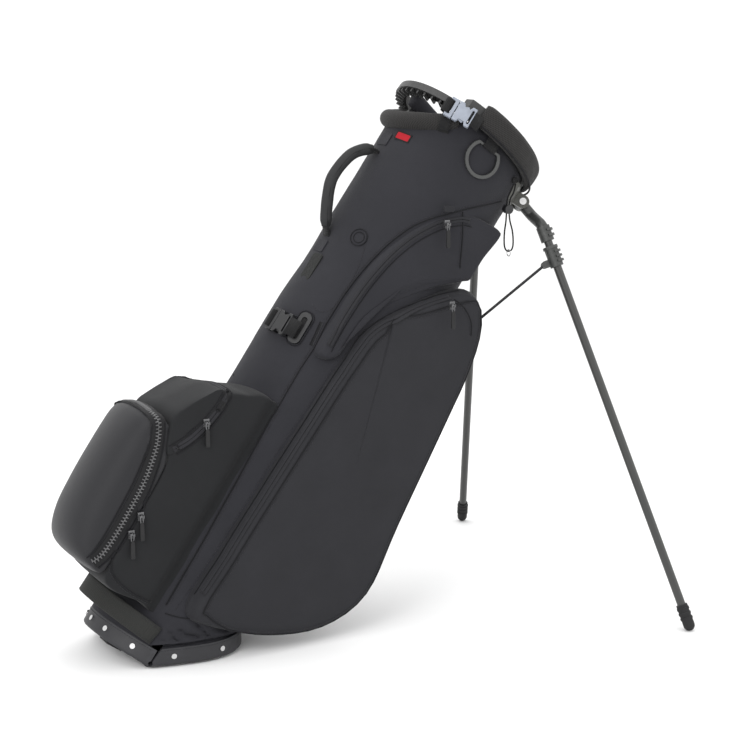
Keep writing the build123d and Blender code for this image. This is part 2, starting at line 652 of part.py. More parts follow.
# ---------------------------------------------------------------- carry ring
RING_PLANE = surface_plane(266, 816, 3.6)
RING_OUT, RING_BAR, RING_CHORD = 27.0, 5.0, 18.0


def d_ring():
    whole = Cylinder(RING_OUT, 3.2) - Cylinder(RING_OUT - RING_BAR, 10)
    whole &= Pos(0, RING_CHORD - BIG / 2, 0) * Box(BIG, BIG, 10)
    half = sqrt(RING_OUT ** 2 - RING_CHORD ** 2)
    bar = Pos(0, RING_CHORD, 0) * Rot(0, 90, 0) * Cylinder(1.6, 2 * half - 1)
    return RING_PLANE.location * (whole + bar)


def ring_tab():
    """Webbing folded round the ring's straight bar."""
    loop = Pos(0, RING_CHORD + 2.5, 0) * Box(22, 13, 7.0)
    loop -= Pos(0, RING_CHORD, 0) * Rot(0, 90, 0) * Cylinder(2.0, 40)
    return RING_PLANE.location * loop - TUBE_CLEAR


bag_nodes["d_ring"] = d_ring()
bag_nodes["d_ring_tab"] = ring_tab()

# ---------------------------------------------------------------- zip sliders and pulls
BAIL_OUT = 4.5
SLIDERS = {
    "upper_pull": bag_point(-8, -105.5, 712),
    "apparel_pull": bag_point(52, -125.5, 622),
    "ball_pull_upper": bag_point(-163, -84, 168),
    "ball_pull_lower": bag_point(-161, -84, 142),
    "lid_pull": bag_point(-152, -84, 314),
}


def zip_slider(at):
    body = Box(8, 3, 11)
    for side in (-1, 1):
        body += Pos(side * 2.6, -3.6, 0) * Box(1.2, 4.4, 4)
    body += Pos(0, -BAIL_OUT, 0) * Rot(0, 90, 0) * Cylinder(1.0, 6.4)
    return Pos(*at) * body


def zip_pull(at):
    pull = Pos(0, -BAIL_OUT, -4.5) * Box(3.4, 2.4, 13) + Pos(0, -BAIL_OUT, -19) * Box(4.6, 3.4, 18)
    pull -= Pos(0, -BAIL_OUT, 0) * Rot(0, 90, 0) * Cylinder(1.0 + FIT, 10)
    return Pos(*at) * pull


floor_nodes["zip_sliders"] = Compound([zip_slider(at) for at in SLIDERS.values()])
for name, at in SLIDERS.items():
    floor_nodes[name] = zip_pull(at)

# ---------------------------------------------------------------- elastic cord
CORD_D = 2.2
LOCK = bag_point(74, -86.5, 786)
CORD_ROUTE = [(12.0, 4, 34), (4, -1, 25), (-2.3, 0, 13), (-2.0, 0, -14), (-7.6, -3, -34), (-7.2, -4, -58),
              (7.2, -4, -59), (7.6, -3, -33), (2.0, 0, -13), (2.4, 0, 14), (9.5, -1, 22), (14.8, 4, 34)]


def cord_points():
    return [LOCK + Vector(*p) for p in CORD_ROUTE]


def cord_radii(points):
    radii = []
    for before, here, after in zip(points, points[1:], points[2:]):
        a, b = here - before, after - here
        half = radians(a.get_angle(b)) / 2
        radii.append(0.45 * min(a.length, b.length) / tan(half))
    return radii


cord_path = FilletPolyline(*cord_points(), radius=cord_radii(cord_points()))
print("cord radii", [round(r, 1) for r in cord_radii(cord_points())], "length", round(cord_path.length, 1))
floor_nodes["bungee_cord"] = tube_along(cord_path, CORD_D / 2)
lock_body = Rot(90, 0, 0) * Cylinder(6.5, 9)
for x in (-2.15, 2.2):
    lock_body -= Pos(x, 0, 0) * Cylinder(CORD_D / 2 + 0.35, 30)
floor_nodes["cord_lock"] = Pos(*LOCK) * lock_body
floor_nodes["cord_ring"] = Pos(*(LOCK + Vector(0, -4, -60.9))) * Rot(0, 90, 0) * Torus(4.4, 0.7)
floor_nodes["bungee_tab"] = Pos(*(LOCK + Vector(13.4, 4.4, 39))) * Box(8, 3, 8)

# ---------------------------------------------------------------- write
os.makedirs("parts", exist_ok=True)
for name, solid in bag_nodes.items():
    export_step(BAG * solid, f"parts/{name}.step")
for name, solid in floor_nodes.items():
    export_step(solid, f"parts/{name}.step")
print("nodes", len(bag_nodes) + len(floor_nodes), "tip", round(TIP_AT, 2), "yoke travel", round(YOKE_TRAVEL, 2),
      "arm swing", round(ARM_SWING, 2))
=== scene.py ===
from math import atan2, cos, degrees, pi, radians, sin, sqrt, tan

import bpy
from mathutils import Matrix, Vector, noise
from mathutils.bvhtree import BVHTree


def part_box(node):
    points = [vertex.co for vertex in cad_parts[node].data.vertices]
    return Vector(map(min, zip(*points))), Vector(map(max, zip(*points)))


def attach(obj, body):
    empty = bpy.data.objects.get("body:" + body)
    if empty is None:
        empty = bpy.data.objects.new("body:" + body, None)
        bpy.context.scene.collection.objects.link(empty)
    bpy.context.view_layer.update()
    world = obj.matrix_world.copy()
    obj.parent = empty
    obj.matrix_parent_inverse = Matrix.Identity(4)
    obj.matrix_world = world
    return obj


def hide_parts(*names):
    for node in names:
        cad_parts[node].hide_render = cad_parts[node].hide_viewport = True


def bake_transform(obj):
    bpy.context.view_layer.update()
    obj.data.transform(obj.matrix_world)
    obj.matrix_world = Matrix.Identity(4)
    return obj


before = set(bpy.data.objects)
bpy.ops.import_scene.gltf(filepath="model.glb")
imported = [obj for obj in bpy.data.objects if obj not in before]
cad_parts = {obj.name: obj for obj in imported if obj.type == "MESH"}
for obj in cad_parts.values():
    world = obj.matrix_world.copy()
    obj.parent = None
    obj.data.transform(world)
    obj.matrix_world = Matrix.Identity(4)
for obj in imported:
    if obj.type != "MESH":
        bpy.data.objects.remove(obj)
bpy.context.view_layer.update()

# Lengths below are in millimetres and are turned into metres as a mesh is made.
# Bag frame: v towards the legs, w to the bag's left side, s up the bag's own axis.
MM = 0.001
LEAN = radians(35.3)
TUBE_A, TUBE_B = 104.5, 94.0
RING_A, RING_B = 114.0, 101.0
RING_IN_A, RING_IN_B = 98.0, 86.0
MOUTH_S, COLLAR_TILT = 851.0, radians(5.6)
DIP_V, DIP = -45.0, radians(32.6)
FLOOR_GAP = 31.0
RIM_TOP = 27.0


def bag_vector(v, w, s):
    return Vector((v * cos(LEAN) + s * sin(LEAN), w, s * cos(LEAN) - v * sin(LEAN)))


HINGE = Vector((-16.0, 0.0, 8.0))
BAG_ORIGIN = HINGE - bag_vector(-42.0, 0.0, 8.0)


def bag_point(v, w, s):
    return BAG_ORIGIN + bag_vector(v, w, s)


def collar_s(v):
    """Height of the tilted collar plane."""
    return MOUTH_S - v * tan(COLLAR_TILT)


def dip_s(v):
    """Height of the mouth's edge on the handle side."""
    return MOUTH_S - 2 - (DIP_V - v) * tan(DIP)


def tube_w(v):
    """Half width of the tube at a distance v."""
    return TUBE_B * sqrt(max(0.0, 1 - (v / TUBE_A) ** 2))


def surface_frame(angle, s, lift=0.0, a=TUBE_A, b=TUBE_B):
    """A frame on the tube: x round it, y up it, z out of it."""
    t = radians(angle)
    out = bag_vector(cos(t) / a, sin(t) / b, 0).normalized()
    point = bag_point(a * cos(t), b * sin(t), s) + out * lift
    x = bag_vector(-a * sin(t), b * cos(t), 0).normalized()
    return frame_matrix(point, x, out)


def frame_matrix(origin, x, z):
    y = z.cross(x)
    rows = [(x[i], y[i], z[i], origin[i]) for i in range(3)]
    return Matrix(rows + [(0, 0, 0, 1)])


def ease(t):
    t = min(1.0, max(0.0, t))
    return t * t * (3 - 2 * t)


def mix(a, b, t):
    return a + (b - a) * t


def turns(count):
    """Evenly spaced angles round a full turn."""
    return [2 * pi * k / count for k in range(count)]


# ---------------------------------------------------------------- materials
class Shader:
    """A Principled material with helpers for its procedural nodes."""

    def __init__(self, name, roughness, metallic=0.0, sheen=0.0, coat=0.0, specular=0.5):
        self.material = bpy.data.materials.new(name)
        self.material.use_nodes = True
        self.tree = self.material.node_tree
        self.bsdf = self.tree.nodes["Principled BSDF"]
        self.bsdf.inputs["Roughness"].default_value = roughness
        self.bsdf.inputs["Metallic"].default_value = metallic
        self.bsdf.inputs["Sheen Weight"].default_value = sheen
        self.bsdf.inputs["Sheen Roughness"].default_value = 0.45
        self.bsdf.inputs["Coat Weight"].default_value = coat
        self.bsdf.inputs["Specular IOR Level"].default_value = specular

    def node(self, kind, **values):
        made = self.tree.nodes.new(kind)
        for key, value in values.items():
            if hasattr(made, key):
                setattr(made, key, value)
            else:
                made.inputs[key.replace("_", " ")].default_value = value
        return made

    def link(self, source, target):
        self.tree.links.new(source, target)

    def math(self, operation, a, b=None):
        made = self.node("ShaderNodeMath", operation=operation)
        for socket, value in zip(made.inputs, (a, b)):
            if value is None:
                continue
            if isinstance(value, (int, float)):
                socket.default_value = value
            else:
                self.link(value, socket)
        return made.outputs[0]

    def place(self, uv):
        """Two lengths along the surface: round the bag and up it, or along and across a strip."""
        split = self.node("ShaderNodeSeparateXYZ")
        if uv:
            self.link(self.node("ShaderNodeTexCoord").outputs["UV"], split.inputs[0])
            return split.outputs[0], split.outputs[1]
        turn = self.node("ShaderNodeMapping")
        turn.inputs["Rotation"].default_value = (0, -LEAN, 0)
        turn.inputs["Location"].default_value = (-0.0243, 0, 0)
        self.link(self.node("ShaderNodeTexCoord").outputs["Object"], turn.inputs[0])
        self.link(turn.outputs[0], split.inputs[0])
        angle = self.math("ARCTAN2", split.outputs[1], split.outputs[0])
        return self.math("MULTIPLY", angle, 0.105), split.outputs[2]

    def wave(self, length, period):
        turned = self.math("MULTIPLY", length, 2 * pi / (period * MM))
        return self.math("SINE", turned)

    def noise(self, size, detail=2.0, roughness=0.55):
        made = self.node("ShaderNodeTexNoise", Scale=1 / (size * MM), Detail=detail, Roughness=roughness)
        self.link(self.node("ShaderNodeTexCoord").outputs["Object"], made.inputs["Vector"])
        return made.outputs["Fac"]

    def ramp(self, value, low, high):
        made = self.node("ShaderNodeMapRange", From_Min=low, From_Max=high)
        self.link(value, made.inputs["Value"])
        return made.outputs[0]

    def colour(self, dark, light, factor):
        made = self.node("ShaderNodeMix", data_type="RGBA")
        made.inputs[6].default_value = (*dark, 1)
        made.inputs[7].default_value = (*light, 1)
        self.link(factor, made.inputs[0])
        return made.outputs[2]

    def blend(self, first, second, factor):
        made = self.node("ShaderNodeMix", data_type="RGBA")
        self.link(first, made.inputs[6])
        self.link(second, made.inputs[7])
        self.link(factor, made.inputs[0])
        return made.outputs[2]

    def bump(self, height, distance, strength=1.0, under=None):
        made = self.node("ShaderNodeBump", Distance=distance * MM, Strength=strength)
        self.link(height, made.inputs["Height"])
        if under is not None:
            self.link(under, made.inputs["Normal"])
        return made.outputs[0]

    def finish(self, colour, normal, roughness=None):
        self.link(colour, self.bsdf.inputs["Base Color"])
        self.link(normal, self.bsdf.inputs["Normal"])
        if roughness is not None:
            self.link(roughness, self.bsdf.inputs["Roughness"])
        return self.material


def scaled(colour, factor):
    return tuple(c * factor for c in colour)


def woven(name, colour, thread=1.1, depth=0.10, sheen=0.05, roughness=0.82, uv=False, creases=0.5,
          specular=0.22):
    """Plain-weave cloth: crossed threads, uneven dye and soft creases."""
    cloth = Shader(name, roughness, sheen=sheen, specular=specular)
    along, up = cloth.place(uv)
    threads = cloth.math("MULTIPLY", cloth.wave(along, thread), cloth.wave(up, thread))
    grain = cloth.noise(0.7, 1.0)
    tone = cloth.math("ADD", cloth.math("MULTIPLY", threads, 0.16), grain)
    fine = cloth.colour(scaled(colour, 0.78), scaled(colour, 1.24), cloth.ramp(tone, 0.2, 0.85))
    patchy = cloth.colour(scaled(colour, 0.86), scaled(colour, 1.14),
                          cloth.ramp(cloth.noise(70, 3.0), 0.3, 0.7))
    base = cloth.blend(fine, patchy, cloth.ramp(cloth.noise(9, 2.0), 0.1, 0.9))
    waves = cloth.bump(cloth.noise(26, 2.5), creases, 0.5)
    rough = cloth.node("ShaderNodeMapRange", To_Min=roughness - 0.08, To_Max=roughness + 0.08)
    cloth.link(grain, rough.inputs["Value"])
    return cloth.finish(base, cloth.bump(threads, depth, 0.7, waves), rough.outputs[0])


def webbing_cloth(name, colour, rib=1.6, depth=0.25, sheen=0.04):
    """Narrow webbing: ribs along the strip with fine picks across it."""
    cloth = Shader(name, 0.78, sheen=sheen, specular=0.25)
    along, across = cloth.place(True)
    picks = cloth.math("MULTIPLY", cloth.wave(along, rib), cloth.wave(across, rib * 2.2))
    ribs = cloth.math("ADD", cloth.wave(along, rib), picks)
    grain = cloth.noise(0.9, 1.0)
    tone = cloth.math("ADD", cloth.math("MULTIPLY", ribs, 0.14), grain)
    base = cloth.colour(scaled(colour, 0.7), scaled(colour, 1.3), cloth.ramp(tone, 0.2, 0.8))
    return cloth.finish(base, cloth.bump(ribs, depth, 0.8))


def mesh_cloth(name, colour):
    """Knitted spacer mesh, its cells shown by dark colour and bump."""
    cloth = Shader(name, 0.86, sheen=0.06, specular=0.2)
    along, up = cloth.place(False)
    first = cloth.wave(cloth.math("ADD", along, cloth.math("MULTIPLY", up, 0.6)), 2.6)
    second = cloth.wave(cloth.math("SUBTRACT", along, cloth.math("MULTIPLY", up, 0.6)), 2.6)
    cells = cloth.math("MULTIPLY", cloth.math("ADD", first, second), 0.5)
    base = cloth.colour(scaled(colour, 0.42), scaled(colour, 1.3), cloth.ramp(cells, -0.7, 0.25))
    soft = cloth.bump(cloth.noise(18, 2.0), 0.8, 0.5)
    return cloth.finish(base, cloth.bump(cells, 0.35, 0.8, soft))


def moulded(name, colour, roughness=0.45, grain=0.05, metallic=0.0, coat=0.0, wear=1.5, grain_size=0.8):
    """Moulded or cast surface with a fine grain and paler, worn edges."""
    solid = Shader(name, roughness, metallic=metallic, coat=coat)
    edges = solid.ramp(solid.node("ShaderNodeNewGeometry").outputs["Pointiness"], 0.51, 0.58)
    scuffs = solid.math("MULTIPLY", edges, solid.ramp(solid.noise(5, 3.0), 0.35, 0.7))
    cloudy = solid.colour(scaled(colour, 0.88), scaled(colour, 1.12),
                          solid.ramp(solid.noise(12, 4.0), 0.3, 0.7))
    worn = solid.colour(scaled(colour, wear), scaled(colour, wear), scuffs)
    base = solid.blend(cloudy, worn, scuffs)
    speckle = solid.noise(grain_size, 2.0)
    rough = solid.node("ShaderNodeMapRange", To_Min=roughness - 0.1, To_Max=roughness + 0.1)
    solid.link(solid.noise(6, 3.0), rough.inputs["Value"])
    return solid.finish(base, solid.bump(speckle, grain, 0.6), rough.outputs[0])


def carbon_tube(name, colour):
    """Painted leg tube with faint slanting lines."""
    solid = Shader(name, 0.32, coat=0.3)
    split = solid.node("ShaderNodeSeparateXYZ")
    solid.link(solid.node("ShaderNodeTexCoord").outputs["Object"], split.inputs[0])
    lines = solid.wave(solid.math("ADD", split.outputs[2], split.outputs[0]), 3.0)
    base = solid.colour(scaled(colour, 0.85), scaled(colour, 1.2), solid.ramp(lines, -1, 1))
    return solid.finish(base, solid.bump(solid.noise(1.5, 2.0), 0.02, 0.4))


def loop_pile(name, colour):
    """The fuzzy half of a hook-and-loop fastener."""
    cloth = Shader(name, 0.95, sheen=0.15, specular=0.2)
    tufts = cloth.node("ShaderNodeTexVoronoi", Scale=1 / (1.1 * MM))
    cloth.link(cloth.node("ShaderNodeTexCoord").outputs["Object"], tufts.inputs["Vector"])
    base = cloth.colour(scaled(colour, 1.3), scaled(colour, 0.6),
                        cloth.ramp(tufts.outputs["Distance"], 0.1, 0.7))
    return cloth.finish(base, cloth.bump(tufts.outputs["Distance"], 0.5, 0.8))


CHARCOAL = (0.0198, 0.0198, 0.0239)
MATERIALS = {
    "tube": woven("tube_cloth", CHARCOAL),
    "pocket": woven("pocket_cloth", (0.0195, 0.0195, 0.0225), thread=1.2, creases=0.8),
    "dome": woven("dome_cloth", (0.0120, 0.0120, 0.0142), thread=1.2, roughness=0.55, specular=0.3),
    "panel": woven("panel_cloth", (0.0120, 0.0124, 0.0135), thread=1.3, creases=0.8),
    "lining": woven("lining_cloth", (0.0101, 0.0101, 0.0115), thread=0.9),
    "tape": woven("zip_tape", (0.0120, 0.0120, 0.0129), thread=0.8, depth=0.08, uv=True, creases=0.1),
    "piping": woven("piping_cloth", (0.0064, 0.0064, 0.0078), thread=0.8, depth=0.05, uv=True, creases=0.1),
    "thread": woven("sewing_thread", (0.0253, 0.0253, 0.0285), thread=0.5, depth=0.05, uv=True, creases=0.1),
    "mesh": mesh_cloth("spacer_mesh", (0.0230, 0.0221, 0.0216)),
    "webbing": webbing_cloth("webbing", (0.0092, 0.0092, 0.0097)),
    "elastic": webbing_cloth("elastic_webbing", (0.0235, 0.0240, 0.0225), rib=1.3),
    "foam": moulded("grip_foam", (0.0152, 0.0156, 0.0166), roughness=0.8, grain=0.15, wear=1.2,
                    grain_size=0.9),
    "pile": loop_pile("loop_pile", (0.0138, 0.0143, 0.0138)),
    "label": woven("label_red", (0.3150, 0.0090, 0.0165), thread=0.6, uv=True, creases=0.1),
    "label_edge": woven("label_border", (0.0083, 0.0092, 0.0092), thread=0.6, uv=True, creases=0.1),
    "collar": moulded("collar_moulding", (0.0230, 0.0230, 0.0230), roughness=0.42),
    "base": moulded("base_moulding", (0.0156, 0.0156, 0.0184), roughness=0.55),
    "leg": moulded("leg_moulding", (0.0345, 0.0359, 0.0345), roughness=0.4),
    "bracket": moulded("bracket_moulding", (0.0506, 0.0506, 0.0437), roughness=0.38),
    "buckle_grey": moulded("buckle_pale", (0.2400, 0.2640, 0.3120), roughness=0.36, wear=1.3),
    "buckle_black": moulded("buckle_dark", (0.0074, 0.0074, 0.0083), roughness=0.38, wear=2.2),
    "ring": moulded("ring_moulding", (0.0322, 0.0331, 0.0322), roughness=0.34, coat=0.2),
    "tube_metal": carbon_tube("leg_tube_paint", (0.0239, 0.0244, 0.0230)),
    "rubber": moulded("rubber", (0.0055, 0.0055, 0.0060), roughness=0.72, grain=0.1, wear=1.8),
    "steel": moulded("bright_steel", (0.5760, 0.5760, 0.5760), roughness=0.24, metallic=1.0, grain=0.02,
                     wear=1.1),
    "black_steel": moulded("black_steel", (0.0138, 0.0138, 0.0147), roughness=0.35, metallic=0.6,
                           grain=0.02),
    "zip_metal": moulded("zip_metal", (0.1280, 0.1280, 0.1320), roughness=0.32, metallic=0.9, grain=0.02),
    "tooth": moulded("zip_tooth", (0.0820, 0.0820, 0.0840), roughness=0.4, grain=0.02),
    "cord": woven("braided_cord", (0.0060, 0.0060, 0.0064), thread=0.6, depth=0.15, creases=0.1),
}


# ---------------------------------------------------------------- mesh tools
def mesh_object(name, points, faces, uvs=None):
    """A mesh from points in the floor frame, in millimetres. uvs has one pair for each point."""
    mesh = bpy.data.meshes.new(name)
    mesh.from_pydata([p * MM for p in points], [], faces)
    if uvs:
        layer = mesh.uv_layers.new(name="lengths")
        for loop in mesh.loops:
            layer.data[loop.index].uv = uvs[loop.vertex_index]
    mesh.polygons.foreach_set("use_smooth", [True] * len(mesh.polygons))
    mesh.validate()
    made = bpy.data.objects.new(name, mesh)
    bpy.context.scene.collection.objects.link(made)
    return made


def dress(piece, material, body="bag", replaces=()):
    """Gives a new piece its material, slot and body."""
    piece.data.materials.clear()
    piece.data.materials.append(MATERIALS[material])
    if body:
        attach(piece, body)
    if replaces:
        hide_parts(*replaces)
    return piece


def modify(piece, kind, **values):
    made = piece.modifiers.new(kind.title(), kind)
    for key, value in values.items():
        setattr(made, key, value)
    return made


def apply_modifiers(piece):
    graph = bpy.context.evaluated_depsgraph_get()
    mesh = bpy.data.meshes.new_from_object(piece.evaluated_get(graph))
    piece.modifiers.clear()
    piece.data = mesh
    return piece


def spline(points, step=3.0, closed=False):
    """Evenly spaced points on a smooth curve through the given ones."""
    points = [Vector(p) for p in points]
    last = len(points)
    count = last if closed else last - 1
    fine = []
    for i in range(count):
        if closed:
            p0, p1, p2, p3 = (points[(i + k) % last] for k in (-1, 0, 1, 2))
        else:
            p0, p1, p2, p3 = (points[min(max(i + k, 0), last - 1)] for k in (-1, 0, 1, 2))
        for k in range(12):
            t = k / 12
            a = p1 * 2 + (p2 - p0) * t
            b = (p0 * 2 - p1 * 5 + p2 * 4 - p3) * t * t
            c = (p1 * 3 - p0 - p2 * 3 + p3) * t * t * t
            fine.append((a + b + c) / 2)
    fine.append(points[0].copy() if closed else points[-1].copy())
    lengths = [0.0]
    for a, b in zip(fine, fine[1:]):
        lengths.append(lengths[-1] + (b - a).length)
    pieces = max(2, round(lengths[-1] / step))
    result, k = [], 0
    for i in range(pieces if closed else pieces + 1):
        target = lengths[-1] * i / pieces
        while k < len(lengths) - 2 and lengths[k + 1] < target:
            k += 1
        span = max(1e-9, lengths[k + 1] - lengths[k])
        result.append(fine[k].lerp(fine[k + 1], (target - lengths[k]) / span))
    return result


def outline_points(points, count):
    """A closed smooth outline with a set number of points."""
    rough = spline([(v, s, 0) for v, s in points], 1.0, True)
    return [rough[int(i * len(rough) / count)].to_2d() for i in range(count)]


def inset(outline, distance):
    """The outline moved inwards; distance may be a function of a point."""
    area = sum(a.x * b.y - b.x * a.y for a, b in zip(outline, outline[1:] + outline[:1]))
    turn = 1 if area > 0 else -1
    moved = []
    for i, p in enumerate(outline):
        along = (outline[(i + 2) % len(outline)] - outline[i - 2]).normalized()
        step = distance(p) if callable(distance) else distance
        moved.append(p + Vector((-along.y, along.x)) * turn * step)
    return moved


def shell(name, rings, cap_first=False, cap_last=False, closed=True):
    """A skin of quads through rings that all have the same number of points."""
    count = len(rings[0])
    points = [p for ring in rings for p in ring]
    uvs, up = [], 0.0
    for k, ring in enumerate(rings):
        up += (ring[0] - rings[k - 1][0]).length * MM if k else 0.0
        round_it = 0.0
        for i in range(count):
            round_it += (ring[i] - ring[i - 1]).length * MM if i else 0.0
            uvs.append((round_it, up))
    faces = []
    for k in range(len(rings) - 1):
        for i in range(count if closed else count - 1):
            j = (i + 1) % count
            faces.append((k * count + i, k * count + j, (k + 1) * count + j, (k + 1) * count + i))
    for wanted, k in ((cap_first, 0), (cap_last, len(rings) - 1)):
        if wanted:
            points.append(sum(rings[k], Vector()) / count)
            uvs.append((0.0, up))
            for i in range(count):
                pair = (k * count + i, k * count + (i + 1) % count)
                faces.append((*(pair if k else pair[::-1]), len(points) - 1))
    return mesh_object(name, points, faces, uvs)


def directions(points, closed=False):
    """The line's direction at each point."""
    last = len(points) - 1
    found = []
    for i in range(last + 1):
        if closed:
            step = points[(i + 1) % (last + 1)] - points[i - 1]
        else:
            step = points[min(i + 1, last)] - points[max(i - 1, 0)]
        found.append(step.normalized())
    return found


def strip(name, path, profile, closed=False):
    """A strip with one cross-section, (across, out) points in order, along (point, normal) pairs."""
    points = [p for p, _ in path]
    rings = []
    for (p, n), along in zip(path, directions(points, closed)):
        across = along.cross(n).normalized()
        out = across.cross(along).normalized()
        rings.append([p + across * x + out * y for x, y in profile])
    if closed:
        rings.append(rings[0])
    return shell(name, rings, not closed, not closed)


def band_profile(width, thick, sink=0.4):
    """A flat band's section with rounded edges, its underside sunk into what it lies on."""
    half = width / 2
    return [(-half, -sink), (-half, thick * 0.6), (-half + thick * 0.5, thick), (-half * 0.6, thick),
            (0, thick), (half * 0.6, thick), (half - thick * 0.5, thick), (half, thick * 0.6), (half, -sink)]


PIPE_SIDES = 8


def circle(radius, count=40):
    return [(radius * cos(a), radius * sin(a)) for a in turns(count)]


def lifted(path, height):
    return [(p + n * height, n) for p, n in path]


def shifted(path, distance):
    """The path moved sideways along the surface."""
    along = directions([p for p, _ in path])
    return [(p + a.cross(n).normalized() * distance, n) for (p, n), a in zip(path, along)]


def piping(name, path, radius=1.1, material="piping", closed=False):
    """A round cord along a path, partly sunk in the surface."""
    return dress(strip(name, lifted(path, radius * 0.35), circle(radius, PIPE_SIDES), closed), material)


def stitches(name, path, length=3.2, gap=1.6, radius=0.42, body="bag"):
    """A row of single stitches that follows a path."""
    points, faces, uvs = [], [], []
    line = spline([p for p, _ in path], 1.0)
    share = (len(path) - 1) / max(1, len(line) - 1)
    start = 0.0
    while start + length < len(line) - 1:
        ends = [line[int(start)], line[int(start + length)]]
        normal = path[int(start * share)][1]
        along = (ends[1] - ends[0]).normalized()
        across = along.cross(normal).normalized() * radius
        first = len(points)
        for t, size in ((0, 0.3), (0.25, 1), (0.75, 1), (1, 0.3)):
            middle = ends[0].lerp(ends[1], t) + normal * radius * (1.2 * size - 0.5)
            for turn in range(4):
                points.append(middle + (across * cos(turn * pi / 2)
                                        + normal * radius * sin(turn * pi / 2)) * size)
                uvs.append((t * length * MM, turn * radius * MM))
        for k in range(3):
            for turn in range(4):
                a, b = first + k * 4 + turn, first + k * 4 + (turn + 1) % 4
                faces.append((a, b, b + 4, a + 4))
        faces.append(tuple(first + turn for turn in (3, 2, 1, 0)))
        faces.append(tuple(first + 12 + turn for turn in range(4)))
        start += length + gap
    return dress(mesh_object(name, points, faces, uvs), "thread", body)


OUTSIDE = 230.0


class Skin:
    """The shown surface of some pieces, to lay seams and tapes on."""

    def __init__(self, *pieces):
        graph = bpy.context.evaluated_depsgraph_get()
        points, faces = [], []
        for piece in pieces:
            made = piece.evaluated_get(graph)
            mesh = made.to_mesh()
            first = len(points)
            points += [made.matrix_world @ v.co / MM for v in mesh.vertices]
            faces += [[first + i for i in face.vertices] for face in mesh.polygons]
            made.to_mesh_clear()
        self.tree = BVHTree.FromPolygons(points, faces)

    def hit(self, start, direction):
        """Where a ray meets the skin, with the normal that faces the ray's start, or None."""
        place, normal, _, _ = self.tree.ray_cast(start, direction.normalized())
        if place is None:
            return None
        if normal.dot(direction) > 0:
            normal = -normal
        return place, normal

    def side(self, points, w=-OUTSIDE):
        """A line of (v, s) points seen from the bag's right side (or its left, with w above 0)."""
        path = []
        for p in spline([(v, s, 0) for v, s in points]):
            found = self.hit(bag_point(p.x, w, p.y), bag_vector(0, -w, 0))
            if found:
                path.append(found)
        return smoothed(path)

    def near(self, points):
        """A line of (v, w, s) points close to the surface."""
        path = []
        for p in spline([bag_point(*point) for point in points]):
            place, normal, _, _ = self.tree.find_nearest(p)
            path.append((place, normal))
        return smoothed(path)

    def frame(self, angle, s):
        """A frame on the surface, as surface_frame gives for the plain tube."""
        plain = surface_frame(angle, s)
        out = plain.col[2].to_3d()
        place, _ = self.hit(plain.translation + out * 60, -out)
        return frame_matrix(place, plain.col[0].to_3d(), out)


def smoothed(path):
    """The same path with its normals evened out."""
    result = []
    for i, (p, _) in enumerate(path):
        near = path[max(0, i - 2):i + 3]
        result.append((p, sum((n for _, n in near), Vector()).normalized()))
    return result


def plate(name, place, outline, low, high, bevel, holes=()):
    """A flat plate with rounded edges, from (x, y) outlines in a frame."""
    curve = bpy.data.curves.new(name, "CURVE")
    curve.dimensions = "2D"
    curve.fill_mode = "BOTH"
    curve.bevel_depth = bevel
    curve.bevel_resolution = 2
    curve.offset = -bevel
    curve.extrude = (high - low) / 2 - bevel
    for loop in (outline, *holes):
        line = curve.splines.new("POLY")
        line.points.add(len(loop) - 1)
        for point, (x, y) in zip(line.points, loop):
            point.co = (x, y, 0, 1)
        line.use_cyclic_u = True
    maker = bpy.data.objects.new(name, curve)
    bpy.context.scene.collection.objects.link(maker)
    mesh = bpy.data.meshes.new_from_object(maker.evaluated_get(bpy.context.evaluated_depsgraph_get()))
    bpy.data.objects.remove(maker)
    mesh.transform(Matrix.Scale(MM, 4) @ place @ Matrix.Translation((0, 0, (low + high) / 2)))
    made = bpy.data.objects.new(name, mesh)
    bpy.context.scene.collection.objects.link(made)
    modify(made, "WELD", merge_threshold=0.00002)
    return apply_modifiers(made)


def rounded(width, height, radius, x=0.0):
    """A rectangle's outline with round corners."""
    loop = []
    for cx, cy, start in ((1, 1, 0), (-1, 1, 90), (-1, -1, 180), (1, -1, 270)):
        for k in range(5):
            t = radians(start + k * 22.5)
            loop.append((x + cx * (width / 2 - radius) + radius * cos(t),
                         cy * (height / 2 - radius) + radius * sin(t)))
    return loop


# ---------------------------------------------------------------- soft shells
def bag_place(p):
    """The (v, w, s) of a point in the floor frame."""
    local = p - BAG_ORIGIN
    return (local.x * cos(LEAN) - local.z * sin(LEAN), local.y, local.x * sin(LEAN) + local.z * cos(LEAN))


def inflate(piece, is_free, cap, pressure=4.0, frames=20):
    """Swells a closed form by cloth simulation. Points that aren't free stay, and none moves past the cap.

    The side pockets' raw results pass their cap by far, so there the cap sets most of the swell.
    """
    before = [v.co.copy() for v in piece.data.vertices]
    pins = piece.vertex_groups.new(name="pins")
    for i, p in enumerate(before):
        if not is_free(*bag_place(p / MM)):
            pins.add([i], 1.0, "REPLACE")
    cloth = modify(piece, "CLOTH")
    cloth.settings.vertex_group_mass = "pins"
    cloth.settings.use_pressure = True
    cloth.settings.uniform_pressure_force = pressure
    cloth.settings.effector_weights.gravity = 0.0
    cloth.settings.tension_stiffness = 12
    cloth.settings.compression_stiffness = 12
    cloth.settings.bending_stiffness = 0.6
    cloth.point_cache.frame_end = frames
    for f in range(1, frames + 1):
        bpy.context.scene.frame_set(f)
    graph = bpy.context.evaluated_depsgraph_get()
    after = [v.co.copy() for v in piece.evaluated_get(graph).data.vertices]
    piece.modifiers.clear()
    piece.vertex_groups.clear()
    for vertex, a, b in zip(piece.data.vertices, before, after):
        move = b - a
        far = move.length / MM
        if far > 1e-6:
            move *= min(far, cap * (1 - 2.718 ** (-far / cap))) / far
        vertex.co = a + move
    bpy.context.scene.frame_set(1)


